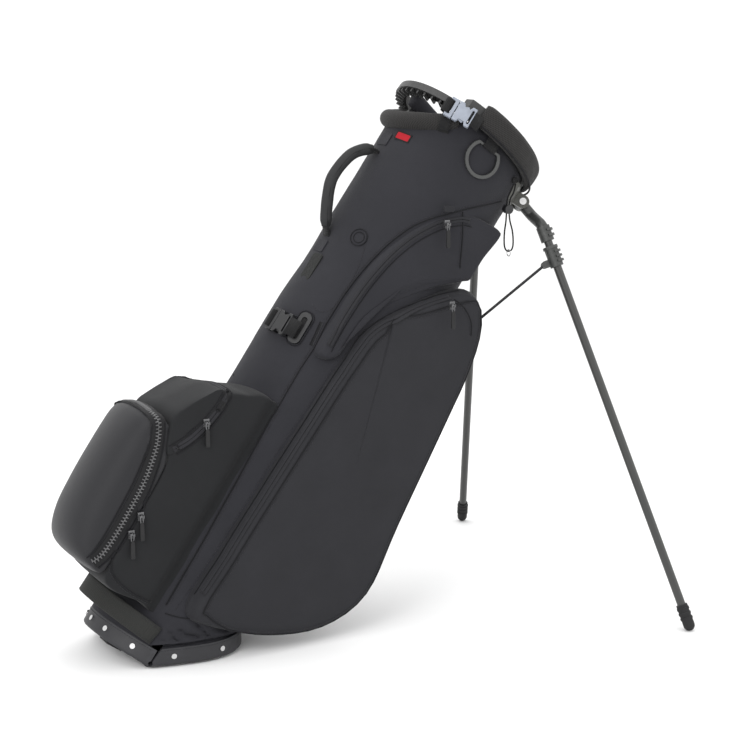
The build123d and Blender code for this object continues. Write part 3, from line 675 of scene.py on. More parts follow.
def ruffle(p, size, seed):
    return noise.noise(p / size + Vector((seed, -seed * 1.7, seed * 0.6)))


def tube_skin():
    """The bag's fabric tube, cut flat near the floor and dipped at the mouth."""
    count, rows = 192, 150
    rings = []
    for k in range(rows + 1):
        ring = []
        for i in range(count):
            t = 2 * pi * i / count
            v, w = TUBE_A * cos(t), TUBE_B * sin(t)
            low = max(RIM_TOP + 0.4, (FLOOR_GAP - BAG_ORIGIN.z + v * sin(LEAN)) / cos(LEAN))
            high = min(collar_s(v) - 4.3, dip_s(v))
            s = mix(low, high, (k / rows) ** 1.4)
            out = Vector((cos(t) / TUBE_A, sin(t) / TUBE_B)).normalized()
            p = bag_point(v, w, s)
            swell = 0.8 * ruffle(p, 60, 3) + 0.35 * ruffle(p, 17, 5)
            near_floor = ease(1 - (p.z - FLOOR_GAP) / 62) * ease((v + 60) / 40)
            crease = (v * 0.35 + s + 14 * ruffle(p, 30, 8)) / 6.5
            fold = 2 * abs(sin(crease)) ** 0.5 - 1
            swell += near_floor * (4.6 * fold + 2.6 * ruffle(p, 15, 9) - 3.0) * ease((p.z - FLOOR_GAP) / 5)
            swell *= ease((high - s) / 12)
            drawn_in = 4.5 * ease((s - 520) / 80) * ease((836 - s) / 30) * max(0.0, -cos(t))
            ring.append(bag_point(v + out.x * swell + drawn_in, w + out.y * swell, s))
        rings.append(ring)
    made = shell("tube_skin", rings)
    keep = []
    for face in made.data.polygons:
        v, w, s = bag_place(face.center / MM)
        if not (v > 0 and abs(w) < 9.5 and 453 < s < 564):
            keep.append(tuple(face.vertices))
    points = [v.co / MM for v in made.data.vertices]
    uvs = {loop.vertex_index: tuple(made.data.uv_layers[0].data[loop.index].uv) for loop in made.data.loops}
    bpy.data.objects.remove(made)
    made = mesh_object("tube_skin", points, keep, [uvs.get(i, (0, 0)) for i in range(len(points))])
    modify(made, "SOLIDIFY", thickness=-2.2 * MM, offset=-1)
    return dress(made, "tube", "bag", ["tube_shell"])


def pocket_form(name, outline, base, face, slope, crown, sign=-1, count=200, face_rings=16):
    """A sewn pocket on one side of the bag: sloped walls from the base up to a crowned face."""
    ring = outline_points(outline, count)
    centre = sum(ring, Vector((0, 0))) / count
    rings = []
    steps = 9
    for k in range(steps + 1):
        t = k / steps
        level = inset(ring, lambda p: slope(p) * (1 - sqrt(1 - t * t * 0.98)))
        rise = ease(t) * 0.4 + t * 0.6
        rings.append([(p, mix(base(p.x), face, rise)) for p in level])
    edge = [p for p, _ in rings[-1]]
    for k in range(1, face_rings + 1):
        t = k / (face_rings + 1)
        dome = face + crown * sin(t * pi / 2) ** 0.9
        rings.append([(p.lerp(centre, t), dome) for p in edge])
    placed = [[bag_point(p.x, sign * w, p.y) for p, w in level] for level in rings]
    if sign < 0:
        placed = [level[::-1] for level in placed]
    return shell(name, placed, True, True)


def side_base(p_v, flat):
    """Where a side pocket's wall starts: in the tube's skin, or on the pocket's flat back."""
    return max(flat, tube_w(p_v) - 1.5)


def lofted_block(name, sections, cap_rings=10, crown=2.0, half=None):
    """A form lofted sideways through (w, outline) sections, with crowned ends."""
    rings = []

    def placed(ring, w):
        return [bag_point(p.x, w if half is None else half(p, w), p.y) for p in ring]

    def cap(ring, w):
        centre = sum(ring, Vector((0, 0))) / len(ring)
        side = 1 if w > 0 else -1
        levels = []
        for k in range(1, cap_rings + 1):
            t = k / (cap_rings + 1)
            levels.append(placed([p.lerp(centre, t) for p in ring], w + side * crown * sin(t * pi / 2)))
        return levels

    first_w, first = sections[0]
    last_w, last = sections[-1]
    rings += cap(first, first_w)[::-1]
    rings += [placed(ring, w) for w, ring in sections]
    rings += cap(last, last_w)
    return shell(name, rings, True, True)


LEFT_NARROWING = 0.060


def block_sections(outline, end_outline, right, left, power, count=150, steps=16):
    """Sections from the right side to the left, the outline drawing in to its end shape near both sides."""
    middle, end = outline_points(outline, count), outline_points(end_outline, count)
    sections = []
    for k in range(-steps, steps + 1):
        t = sin(k / steps * pi / 2)
        round_off = 1 - (1 - abs(t) ** power) ** (1 / power)
        w = mix(-right, left, (t + 1) / 2)
        draw_in = LEFT_NARROWING * ease((w + 25) / (left + 25))
        ring = [p.lerp(q, round_off) for p, q in zip(middle, end)]
        sections.append((w, [Vector((mix(p.x, -120, draw_in) if p.x < -120 else p.x,
                                     mix(p.y, 220, draw_in) if p.y > 220 else p.y)) for p in ring]))
    return sections


# ---------------------------------------------------------------- camera, light and floor
def look():
    azimuth, elevation, distance = radians(-28.33), radians(11.66), 2.4286
    target = Vector((0.3652, 0.0, 0.3407))
    back = Vector((sin(azimuth) * cos(elevation), -cos(azimuth) * cos(elevation), sin(elevation)))
    data = bpy.data.cameras.new("camera")
    data.sensor_width = 36.0
    data.lens = 82.28
    camera = bpy.data.objects.new("camera", data)
    camera.location = target + back * distance
    camera.rotation_mode = "QUATERNION"
    camera.rotation_quaternion = (-back).to_track_quat("-Z", "Y")
    bpy.context.scene.collection.objects.link(camera)
    bpy.context.scene.camera = camera


def area_light(name, place, target, size, power):
    data = bpy.data.lights.new(name, "AREA")
    data.shape = "DISK"
    data.size = size
    data.energy = power
    lamp = bpy.data.objects.new(name, data)
    lamp.location = place
    lamp.rotation_mode = "QUATERNION"
    lamp.rotation_quaternion = (Vector(target) - Vector(place)).to_track_quat("-Z", "Y")
    bpy.context.scene.collection.objects.link(lamp)


def studio():
    world = bpy.data.worlds.new("studio")
    world.use_nodes = True
    world.node_tree.nodes["Background"].inputs[0].default_value = (1, 1, 1, 1)
    world.node_tree.nodes["Background"].inputs[1].default_value = 1.2
    bpy.context.scene.world = world
    middle = (0.3, 0, 0.4)
    area_light("key", (-1.9, -1.7, 2.1), middle, 1.4, 34)
    area_light("fill", (1.9, -2.0, 1.4), middle, 2.2, 7)
    area_light("top", (0.2, 0.3, 3.0), middle, 2.0, 22)
    size = 14000.0
    floor = mesh_object("floor", [Vector((x, y, 0)) for x, y in
                                  ((-size, -size), (size, -size), (size, size), (-size, size))],
                                  [(0, 1, 2, 3)])
    paint = Shader("floor_paper", 0.9)
    paper = paint.colour((0.86, 0.86, 0.86), (0.88, 0.88, 0.88), paint.noise(400, 2.0))
    floor.data.materials.append(paint.finish(paper, paint.bump(paint.noise(3, 2.0), 0.02, 0.2)))
    scene = bpy.context.scene
    scene.view_settings.view_transform = "Standard"
    scene.view_settings.look = "None"


look()
studio()

# ---------------------------------------------------------------- the cord comes first
LOCK = bag_point(74, -86.5, 786)
CORD_DIAMETER = 2.2
CORD_ROUTE = [(12.0, 4, 34), (4, -1, 25), (-2.3, 0, 13), (-2.0, 0, -14), (-7.6, -3, -34), (-7.2, -4, -58),
              (7.2, -4, -59), (7.6, -3, -33), (2.0, 0, -13), (2.4, 0, 14), (9.5, -1, 22), (14.8, 4, 34)]


def cord_piece():
    curve = bpy.data.curves.new("elastic_cord", "CURVE")
    curve.dimensions = "3D"
    curve.bevel_depth = CORD_DIAMETER / 2 * MM
    curve.bevel_resolution = 3
    curve.resolution_u = 16
    line = curve.splines.new("NURBS")
    line.points.add(len(CORD_ROUTE) - 1)
    for point, offset in zip(line.points, CORD_ROUTE):
        point.co = (*((LOCK + Vector(offset)) * MM), 1)
    line.order_u = 3
    line.use_endpoint_u = True
    cord = bpy.data.objects.new("elastic_cord", curve)
    bpy.context.scene.collection.objects.link(cord)
    return dress(cord, "cord", "bag", ["bungee_cord"])


def tab_piece(name, centre, size, material, replaces=()):
    """A small folded webbing tab: a soft-edged block along z."""
    place = Matrix.Translation(centre) @ Matrix.Rotation(pi / 2, 4, "X")
    made = plate(name, place, rounded(size[0], size[2], 1.2), -size[1] / 2, size[1] / 2, 0.7)
    return dress(made, material, "bag", replaces)


cord = cord_piece()
tab_piece("cord_tab", LOCK + Vector((13.4, 4.4, 39)), (8, 3, 8), "webbing", ["bungee_tab"])

# ---------------------------------------------------------------- tube and pockets
tube = tube_skin()

APPAREL = [(-38, 88), (34, 96), (90, 118), (141, 152), (175, 200), (183, 246), (171, 328), (160, 426),
           (151, 506), (144, 560), (125, 624), (84, 659), (30, 617), (-22, 545), (-33, 480), (-37, 380),
           (-40, 280), (-42, 180)]
UPPER = [(-66, 470), (-40, 480), (-30, 551), (22, 621), (68, 661), (79, 672), (80, 705), (84, 752),
         (50, 752), (16, 741), (-14, 719), (-38, 683), (-56, 634), (-64, 590), (-67, 530)]
FAR = [(-58, 160), (60, 160), (70, 300), (70, 470), (-58, 470), (-62, 300)]


def apparel_slope(p):
    """Wide zipped gusset along the handle side and the top, tight seam elsewhere."""
    wide = ease((20 - p.x) / 40) if p.y < 560 else ease((110 - p.x) / 50) * ease((p.y - 560) / 50)
    return mix(5.0, 17.0, max(wide, ease((-10 - p.x) / 25)))


apparel = pocket_form("apparel_pocket_cover", APPAREL,
                      lambda v: side_base(v, 86.0), 114.0, apparel_slope, 5.0)
upper = pocket_form("upper_pocket_cover", UPPER, lambda v: side_base(v, 62.0), 98.0, lambda p: 9.0, 3.5)
far = pocket_form("far_pocket_cover", FAR, lambda v: side_base(v, 62.0), 100.0, lambda p: 12.0, 6.0, sign=1)

BODY = [(-58, 74), (-100, 70), (-146, 67), (-163, 86), (-166, 160), (-168, 235), (-188, 274), (-195, 292),
        (-186, 317), (-167, 345), (-151, 360), (-134, 370), (-118, 376), (-106, 384), (-94, 388),
        (-80, 387), (-66, 378), (-58, 300), (-58, 180)]
BODY_END = [(-58, 78), (-100, 74), (-142, 72), (-160, 88), (-163, 160), (-165, 235), (-180, 266),
            (-186, 288), (-180, 314), (-163, 340), (-147, 356), (-130, 365), (-114, 372), (-100, 378),
            (-88, 380), (-78, 380), (-66, 374), (-58, 300), (-58, 180)]
FRONT = [(-165, 84), (-190, 77), (-217, 89), (-232, 121), (-237, 165), (-238, 215), (-236, 260),
         (-229, 283), (-213, 294), (-198, 292), (-184, 262), (-170, 235), (-166, 160)]
FRONT_END = [(-165, 88), (-180, 84), (-192, 92), (-192, 122), (-192, 162), (-196, 207), (-202, 246),
             (-208, 268), (-205, 282), (-189, 284), (-177, 260), (-168, 235), (-164, 160)]
LID = [(-174, 252), (-161, 274), (-152, 300), (-145, 333), (-142, 352), (-146, 362), (-156, 361),
       (-170, 346), (-187, 320), (-196, 300), (-190, 276)]
LID_END = [(-173, 256), (-163, 274), (-155, 300), (-149, 333), (-147, 350), (-151, 360), (-160, 360),
           (-170, 346), (-183, 320), (-190, 298), (-184, 272)]
BALL_RIGHT, BALL_LEFT = 82.0, 62.0


def body_half(p, w):
    """The pocket's sides draw in to the tube's skin where they meet it."""
    meets = ease((p.x + 92) / 30)
    return (1 if w > 0 else -1) * mix(abs(w), min(abs(w), tube_w(p.x) + 1.2), meets)


ball_body = lofted_block("ball_pocket_cover", block_sections(BODY, BODY_END, BALL_RIGHT, BALL_LEFT, 4.0),
                         half=body_half)
ball_front = lofted_block("ball_pocket_panel",
                          block_sections(FRONT, FRONT_END, BALL_RIGHT - 2, BALL_LEFT - 2, 2.5),
                          crown=0.6)
ball_lid = lofted_block("ball_pocket_lid_cover",
                        block_sections(LID, LID_END, BALL_RIGHT + 1.6, BALL_LEFT + 1.6, 4.0),
                        crown=0.4)
for pocket in (apparel, upper, far):
    inflate(pocket, lambda v, w, s: abs(w) > 96, 3.0)
inflate(ball_front, lambda v, w, s: v < -196, 4.0)
inflate(ball_body, lambda v, w, s: v < -100 and w < -74 and 95 < s < 340, 2.5)
dress(apparel, "pocket", "bag", ["apparel_pocket"])
dress(upper, "tube", "bag", ["upper_pocket"])
dress(far, "pocket", "bag", ["far_pocket"])
dress(ball_body, "panel", "bag", ["ball_pocket", "ball_pocket_lid"])
dress(ball_front, "dome", "bag", ["ball_pocket_front"])
dress(ball_lid, "panel", "bag")


# ---------------------------------------------------------------- padded mouth
def collar_point(angle, a, b, height):
    """A point at a height above the tilted collar plane."""
    x, y = a * cos(angle), b * sin(angle)
    c, s = cos(COLLAR_TILT), sin(COLLAR_TILT)
    return bag_point(x * c + height * s, y, MOUTH_S - x * s + height * c)


def padded_cuff():
    """Spacer-mesh padding wrapped over the moulded ring on the leg side."""
    section = [(0, -6), (9, -7), (11.6, 1), (12, 9), (10.5, 18), (5, 24.5), (-4, 26), (-13, 25), (-16, 21),
               (-14, 20.8), (-2, 20.7), (0.6, 19), (0.6, 8)]
    rings = []
    count = 130
    reach = radians(112)
    loop = spline([(x, y, 0) for x, y in section], 2.2, True)
    for k in range(count + 1):
        angle = mix(-reach, reach, k / count)
        end = min(k, count - k) / count * 2 * reach * 110
        puff = sqrt(min(1.0, (end + 2) / 10))
        ring = []
        for p in loop:
            x, y = p.x, p.y
            if x > 1 or y > 21:
                x, y = mix(2, x, puff), mix(10, y, 0.75 + 0.25 * puff)
            if x > 1:
                x *= mix(1.0, 0.62, cos(angle) ** 4)
            if y > 15:
                y += 2.5 * sin(angle) ** 2
            point = collar_point(angle, RING_A + x, RING_B + x, y)
            ring.append(point + (bag_vector(cos(angle), sin(angle), 0)) * 0.5 * ruffle(point, 22, 2))
        rings.append(ring)
    return shell("collar_cuff", rings, True, True)


def roll_frame(t):
    """The roll's centre at an angle round the mouth, and the two directions its section lies in."""
    centre = bag_point((TUBE_A - 1.5) * cos(t), (TUBE_B - 1.5) * sin(t),
                       dip_s((TUBE_A - 1.5) * cos(t)) - 1.5)
    out = bag_vector(cos(t) / TUBE_A, sin(t) / TUBE_B, 0).normalized()
    up = bag_vector(-sin(DIP) * 0.4, 0, cos(DIP)).normalized()
    return centre, out, (up - out * up.dot(out)).normalized()


def mouth_roll():
    """Padded roll along the dipped edge."""
    rings = []
    count = 110
    reach = radians(57)
    for k in range(count + 1):
        t = mix(pi - reach, pi + reach, k / count)
        nearby = min(k, count - k) / count * 2 * reach * 100
        centre, out, up = roll_frame(t)
        radius = (13.2 + 0.7 * ruffle(centre, 24, 4)) * (0.55 + 0.45 * sqrt(min(1.0, (nearby + 1) / 14)))
        rings.append([centre + out * radius * cos(a) + up * radius * 0.96 * sin(a)
                      for a in turns(28)])
    return shell("mouth_padding", rings, True, True)


SHEET_DEPTH = 238.0


def divider_pieces():
    """Fabric-wrapped cross bars, and two crossed sheets that hang below them."""
    for name, axis in (("divider_bar_long", 0), ("divider_bar_cross", 1)):
        rings = []
        half = (RING_IN_A if axis == 0 else RING_IN_B) - 1.0
        for k in range(41):
            x = mix(-half, half, k / 40)
            sag = 5.0 * (1 - (x / half) ** 2)
            ring = []
            for i in range(20):
                t = 2 * pi * i / 20
                wide = 6.6 + 0.5 * ruffle(Vector((x, axis * 50, i)), 20, 6)
                across, height = wide * cos(t), 12.0 * sin(t) - 10 - sag
                v, w = (x, across) if axis == 0 else (across, x)
                c, s = cos(COLLAR_TILT), sin(COLLAR_TILT)
                ring.append(bag_point(v * c + height * s, w, MOUTH_S - v * s + height * c))
            rings.append(ring)
        dress(shell(name, rings, True, True), "tube", "bag", ["top_divider"] if axis == 0 else ())
    for name, axis in (("divider_sheet_long", 0), ("divider_sheet_cross", 1)):
        half = 92.0 if axis == 0 else 82.0
        rings = []
        for k in range(31):
            s = mix(838, 838 - SHEET_DEPTH, k / 30)
            ring = []
            for i in range(41):
                x = mix(-half, half, i / 40)
                wave = 3.5 * sin(x / 21 + k * 0.12) * ease(k / 12)
                v, w = (x, wave) if axis == 0 else (wave, x)
                top = 10.0 * (abs(x) / half) ** 2 if k == 0 else 0.0
                ring.append(bag_point(v, w, min(s, collar_s(v) - 18 + top)))
            rings.append(ring)
        sheet = shell(name, rings, closed=False)
        modify(sheet, "SOLIDIFY", thickness=1.0 * MM, offset=0)
        apply_modifiers(sheet)
        dress(sheet, "lining")


cuff = padded_cuff()
roll = mouth_roll()
inflate(cuff, lambda v, w, s: (v / (RING_A + 4)) ** 2 + (w / (RING_B + 4)) ** 2 > 1, 1.5)
dress(cuff, "mesh", "bag", ["collar_pad"])
dress(roll, "mesh", "bag", ["collar_roll"])
divider_pieces()
KEEPER_ANGLE, KEEPER_RADIUS, KEEPER_WIDTH = radians(228), 14.4, 15.0
keeper_centre, keeper_out, keeper_up = roll_frame(KEEPER_ANGLE)
keeper_ways = [keeper_out * cos(a) + keeper_up * sin(a) for a in turns(40)]


# ---------------------------------------------------------------- seams, tapes and zips
def tape(name, path, width, thick=1.0, material="tape", closed=False):
    """A flat band laid along a path."""
    return dress(strip(name, path, band_profile(width, thick), closed), material)


def hidden_zip(name, path, width):
    """A zip under two folded edges that almost meet."""
    tape(name + "_bed", path, width, 0.4)
    for side, sign in (("upper", 1), ("lower", -1)):
        tape(name + "_flap_" + side, shifted(path, sign * width * 0.26), width * 0.44, 1.3, "pocket")


def toothed_zip(name, path, width, pitch=4.6, size=(4.6, 1.7, 2.0)):
    """A coarse moulded zip: its tape, and teeth that lock from both sides."""
    tape(name + "_tape", path, width, 0.8)
    line = spline([p for p, _ in path], pitch / 2)
    share = (len(path) - 1) / max(1, len(line) - 1)
    along = directions(line)
    points, faces, uvs = [], [], []
    for k, place in enumerate(line):
        normal = path[min(len(path) - 1, int(k * share))][1]
        across = along[k].cross(normal).normalized()
        side = 1 if k % 2 else -1
        first = len(points)
        for level, shrink in ((0.4, 1.0), (1.2, 1.0), (1.2 + size[2] * 0.5, 0.62)):
            for x, y in ((-1, -1), (1, -1), (1, 1), (-1, 1)):
                head = 1.35 if x * side < 0 else 0.7
                points.append(place + across * (side * 1.7 + x * size[0] / 2 * shrink)
                              + along[k] * (y * size[1] / 2 * head * shrink) + normal * level)
                uvs.append((k * pitch * MM, x * MM))
        for k2 in range(2):
            for i in range(4):
                a, b = first + k2 * 4 + i, first + k2 * 4 + (i + 1) % 4
                faces.append((a, b, b + 4, a + 4))
        faces.append(tuple(first + i for i in (3, 2, 1, 0)))
        faces.append(tuple(first + 8 + i for i in range(4)))
    teeth = dress(mesh_object(name + "_teeth", points, faces, uvs), "tooth")
    teeth.data.polygons.foreach_set("use_smooth", [False] * len(teeth.data.polygons))


def seam(name, path, radius=1.0, gap=3.4):
    """A piped seam with a stitch line beside it."""
    piping(name, path, radius)
    stitches(name + "_stitches", lifted(shifted(path, gap), 0.1))


tape("roll_keeper", [(keeper_centre + way * KEEPER_RADIUS, way) for way in keeper_ways], KEEPER_WIDTH, 1.0,
     "webbing", closed=True)
tube_only = Skin(tube)
S_SEAM = [(65, 792), (18, 753), (-11, 724), (-26, 708), (-42, 684), (-54, 653), (-61, 623), (-66, 591),
          (-69, 559), (-70, 533), (-70, 508), (-68, 476), (-69, 437), (-68, 380)]
L_SEAM = [(-68, 380), (-68, 352), (-65, 257), (-63, 172), (-62, 84)]
UPPER_ZIP = [(26, 737), (12, 731), (-12, 709), (-32, 680), (-45, 651), (-53, 624), (-59, 592), (-62, 560),
             (-63, 520), (-62, 486)]
BAND_STITCHES = [(-44, 600), (-40, 540), (-37, 480), (-38, 420), (-42, 337), (-43, 258), (-45, 170),
                 (-49, 96), (-51, 80)]

seam("long_seam", tube_only.side(S_SEAM), 1.0)
seam("side_panel_seam", Skin(tube, ball_body).side(L_SEAM), 1.2, -3.6)
stitches("band_stitches", lifted(Skin(tube, apparel).side(BAND_STITCHES), 0.1))
upper_skin = Skin(upper, tube)
hidden_zip("upper_zip", upper_skin.side(UPPER_ZIP), 8.0)
piping("upper_zip_edge", upper_skin.side([(v + 7, s - 5) for v, s in UPPER_ZIP]), 0.8)
seam("upper_vertical_seam", upper_skin.side([(9, 741), (26, 717), (43, 687), (50, 676)]), 0.9, 3.0)

APPAREL_RING = outline_points(APPAREL, 200)


def apparel_path(distance, lowest, highest):
    """A line round the apparel pocket's gusset, from its lower corner up the handle side and over the top."""
    ring = inset(APPAREL_RING, distance)
    chosen = [p for p in ring if (p.x < 30 and p.y > lowest) or (p.y > 560 and p.x < highest)]
    chosen.sort(key=lambda p: atan2(p.y - 330, -(p.x - 190)))
    return Skin(apparel).side([tuple(p) for p in chosen[::4]])


apparel_skin = Skin(apparel)
hidden_zip("apparel_zip", apparel_path(6.5, 116, 66), 10.0)
piping("apparel_zip_edge", apparel_path(1.5, 112, 70), 0.9)


def ring_path(skin, ring, inward, sign=-1):
    """A closed path on a side pocket, a distance inside its outline."""
    path = []
    for p in inset(ring, inward)[::3]:
        found = skin.hit(bag_point(p.x, sign * OUTSIDE, p.y), bag_vector(0, -sign, 0))
        if found:
            path.append(found)
    return smoothed(path)


piping("apparel_face_piping", ring_path(apparel_skin, APPAREL_RING, lambda p: apparel_slope(p) * 0.97),
       1.15, closed=True)
stitches("apparel_face_stitches",
         lifted(ring_path(apparel_skin, APPAREL_RING, lambda p: apparel_slope(p) + 3.4), 0.1))
seam("apparel_corner_seam", apparel_skin.side([(60, 634), (80, 632), (100, 622), (112, 606)]), 0.7, 2.6)
far_ring = outline_points(FAR, 160)
far_skin = Skin(far)
piping("far_face_piping", ring_path(far_skin, far_ring, 12.5, 1), 1.15, closed=True)
stitches("far_face_stitches", lifted(ring_path(far_skin, far_ring, 16.5, 1), 0.1))
hidden_zip("far_zip", far_skin.side([(-46, 180), (-50, 300), (-47, 450)], OUTSIDE), 10.0)

PEN_SLEEVE = [(-76, 630), (-71, 599), (-70, 565), (-73, 535), (-78, 524), (-85, 521), (-92, 526)]
stitches("pen_sleeve_stitches", lifted(tube_only.side(PEN_SLEEVE), 0.1))
ball_skin = Skin(ball_body, ball_front, ball_lid)


WRAP_RIGHT, WRAP_LEFT = 84.0, 64.0


def wrapped(side_points, top_points):
    """Points up one side of the ball pocket, over its top, and down the other side."""
    right = [(v, -WRAP_RIGHT, s) for v, s in side_points]
    left = [(v, WRAP_LEFT, s) for v, s in side_points[::-1]]
    return right + top_points + left


ZIP_LINE = [(-186, 88), (-180, 102), (-178, 130), (-179, 165), (-182, 205), (-188, 236), (-196, 262),
            (-208, 282)]
ZIP_TOP = [(-219, -66, 294), (-223, -40, 299), (-223, -10, 300), (-223, 18, 299), (-219, 44, 294)]
ZIP_OUT = [(-174, 84), (-167, 107), (-165, 138), (-166, 170), (-169, 204), (-176, 234), (-185, 259),
           (-197, 281)]
ZIP_OUT_TOP = [(-208, -68, 298), (-211, -40, 304), (-212, -10, 304), (-211, 20, 304), (-208, 46, 298)]
ZIP_IN = [(-199, 86), (-193, 96), (-191, 122), (-192, 162), (-195, 205), (-201, 240), (-208, 263),
          (-219, 281)]
ZIP_IN_TOP = [(-229, -60, 288), (-233, -36, 290), (-234, -10, 291), (-233, 16, 290), (-229, 38, 288)]
toothed_zip("ball_zip", ball_skin.near(wrapped(ZIP_LINE, ZIP_TOP)), 20.0)
for edge, line, top in (("out", ZIP_OUT, ZIP_OUT_TOP), ("in", ZIP_IN, ZIP_IN_TOP)):
    piping("ball_zip_piping_" + edge, ball_skin.near(wrapped(line, top)), 1.3)
LID_ZIP = [(-172, 262), (-160, 284), (-151, 310), (-146, 336), (-146, 354)]
LID_ZIP_TOP = [(-147, -74, 366), (-146, -40, 371), (-146, -10, 372), (-146, 20, 371), (-147, 54, 366)]
hidden_zip("lid_zip", ball_skin.near(wrapped(LID_ZIP, LID_ZIP_TOP)), 9.0)
for edge, out, up in (("in", -8, 1), ("out", 7, -2)):
    line = [(v + out, s + up) for v, s in LID_ZIP]
    top = [(v + out, w, s + 1) for v, w, s in LID_ZIP_TOP]
    piping("lid_piping_" + edge, ball_skin.near(wrapped(line, top)), 1.1)
seam("ball_gusset_seam", ball_skin.side([(-165, 104), (-159, 92), (-149, 85), (-134, 80), (-112, 77),
                                         (-84, 78)]), 1.1, 3.2)
piping("side_panel_top", Skin(tube, ball_body).near([(-104, 20, 393), (-103, -10, 392), (-97, -33, 389),
                                                     (-81, -58, 384), (-66, -72, 378)]), 1.1)
piping("cuff_edge", [(collar_point(t, RING_A + 10.5, RING_B + 10.5, -6.6),
                      bag_vector(cos(t), sin(t), -0.4).normalized())
                     for t in (radians(k * 2 - 108) for k in range(109))], 1.4)
tube_hem = [(-58, 74), (-46, 77), (-28, 84), (-8, 93)]
piping("tube_hem", tube_only.side(tube_hem), 0.8)


# ---------------------------------------------------------------- handle, straps, labels
def varied_tube(name, points, radius, flat, out):
    """A soft tube whose radius follows its length."""
    line = spline(points, 2.5)
    rings = []
    for k, (p, along) in enumerate(zip(line, directions(line))):
        size = radius(min(k, len(line) - 1 - k) * 2.5, p)
        across = along.cross(out).normalized()
        up = across.cross(along).normalized()
        rings.append([p + across * size * cos(a) + up * size * flat * sin(a) for a in turns(20)])
    return shell(name, rings, True, True)


HANDLE = [(-101, 757), (-110.5, 757), (-122.8, 748), (-133.3, 734), (-138.3, 717), (-140.2, 700),
          (-139, 686), (-132.2, 669), (-120.3, 647), (-110.2, 632), (-101, 622)]
handle_points = [bag_point(v, 0, s) for v, s in HANDLE]
grip = varied_tube("grab_handle_grip", handle_points[1:-1],
                   lambda x, p: mix(6.4, 8.4, ease(x / 9)) + 0.25 * ruffle(p, 14, 2), 0.92,
                   Vector((0, 1, 0)))
dress(grip, "foam", "bag", ["grab_handle"])
handle_line = spline(handle_points)
handle_path = [(p, a.cross(Vector((0, 1, 0))).normalized())
               for p, a in zip(handle_line, directions(handle_line))]
dress(strip("grab_handle_strap", handle_path, band_profile(15, 2.0, 2.0)), "webbing")


LABEL_PLACE, SNAP_PLACE, BRACKET_PLACE = (201, 789), (215, 636), (213, 489)


def flat_patch(name, angle, s, width, height, thick, corner, material, replaces=(), turn=0.0, lift=0.0,
               holes=()):
    """A round-cornered patch on the tube, centred at an angle round it and a height up it."""
    place = tube_only.frame(angle, s) @ Matrix.Rotation(radians(turn), 4, "Z")
    made = plate(name, place, rounded(width, height, corner), lift - 1.2, lift + thick, min(0.5, thick / 2),
                 holes)
    return dress(made, material, "bag", replaces)


flat_patch("handle_tab_upper", 180, 779, 26, 18, 0.9, 2, "tube", ["handle_tabs"])
flat_patch("handle_tab_lower", 180, 606, 26, 18, 0.9, 2, "tube")
flat_patch("woven_label_border", *LABEL_PLACE, 27, 13, 0.8, 1.5, "label_edge", ["woven_label"])
flat_patch("woven_label_field", *LABEL_PLACE, 23, 9.5, 1.1, 1.2, "label")
flat_patch("loop_patch", 187, 573, 22, 41, 1.4, 5, "pile", ["velcro_patch"])
flat_patch("snap_disc", *SNAP_PLACE, 22, 22, 0.5, 10.9, "tube", ["snap_ring"])
for name, radius in (("snap_ring_outer", 12.0), ("snap_ring_inner", 7.6)):
    place = tube_only.frame(*SNAP_PLACE)
    loop = [(place @ Vector((x, y, 0.5)), place.col[2].to_3d()) for x, y in circle(radius)]
    piping(name, loop, 0.6, closed=True)
flat_patch("webbing_bracket", *BRACKET_PLACE, 19, 46, 3.0, 8, "buckle_black", ["webbing_plate"],
           holes=[rounded(8, 32, 3)])
flat_patch("webbing_bracket_strap", *BRACKET_PLACE, 9, 30, 2.2, 1.5, "webbing")
bracket_place = tube_only.frame(*BRACKET_PLACE)
piping("webbing_bracket_stitching", [(bracket_place @ Vector((x, y, 0.6)), bracket_place.col[2].to_3d())
                                     for x, y in rounded(24, 51, 10)], 0.5, closed=True)
slit = tube_only.side([(-72, 476), (-73, 490), (-75, 510)])
tape("pen_slit", slit, 3.0, 0.5, "lining")
piping("pen_slit_edge", shifted(slit, 2.2), 0.8, "thread")
piping("pen_slit_edge_b", shifted(slit, -2.2), 0.8)
flat_patch("zip_garage", 262, 731, 15, 8, 1.1, 1.5, "pocket", turn=32, lift=9.0)

STRAP = [(-55, -84, 42), (-72, -82, 44), (-99, -67, 47), (-124, -40, 50), (-135, 0, 52), (-126, 36, 52),
         (-99, 65, 50), (-72, 81, 49), (-55, 84, 48)]
strap_line = spline([bag_point(*p) for p in STRAP], 4.0)
strap_path = [(p, (p - bag_point(-60, 0, 50)).normalized()) for p in strap_line]
dress(strip("base_strap_webbing", strap_path, band_profile(26, 1.8, 0.8)), "elastic", "bag", ["base_strap"])
for side, end in (("right", slice(None, 9)), ("left", slice(-9, None))):
    for edge, offset in (("low", -10.5), ("high", 10.5)):
        stitches(f"base_strap_stitches_{side}_{edge}",
                 lifted(shifted(strap_path, offset), 1.9)[end], 2.4, 1.4)


# ---------------------------------------------------------------- foot gusset
PLATE_SIDE = [(-60, 81), (-41, 88.5), (-5, 96.5), (35, 101), (66, 95), (90, 77), (104, 50), (109, 18)]
PLATE_RIM = [(v, -w, 0) for v, w in PLATE_SIDE] + [(v, w, 0) for v, w in PLATE_SIDE[::-1]]
FOOT_SHIFT = 26.0


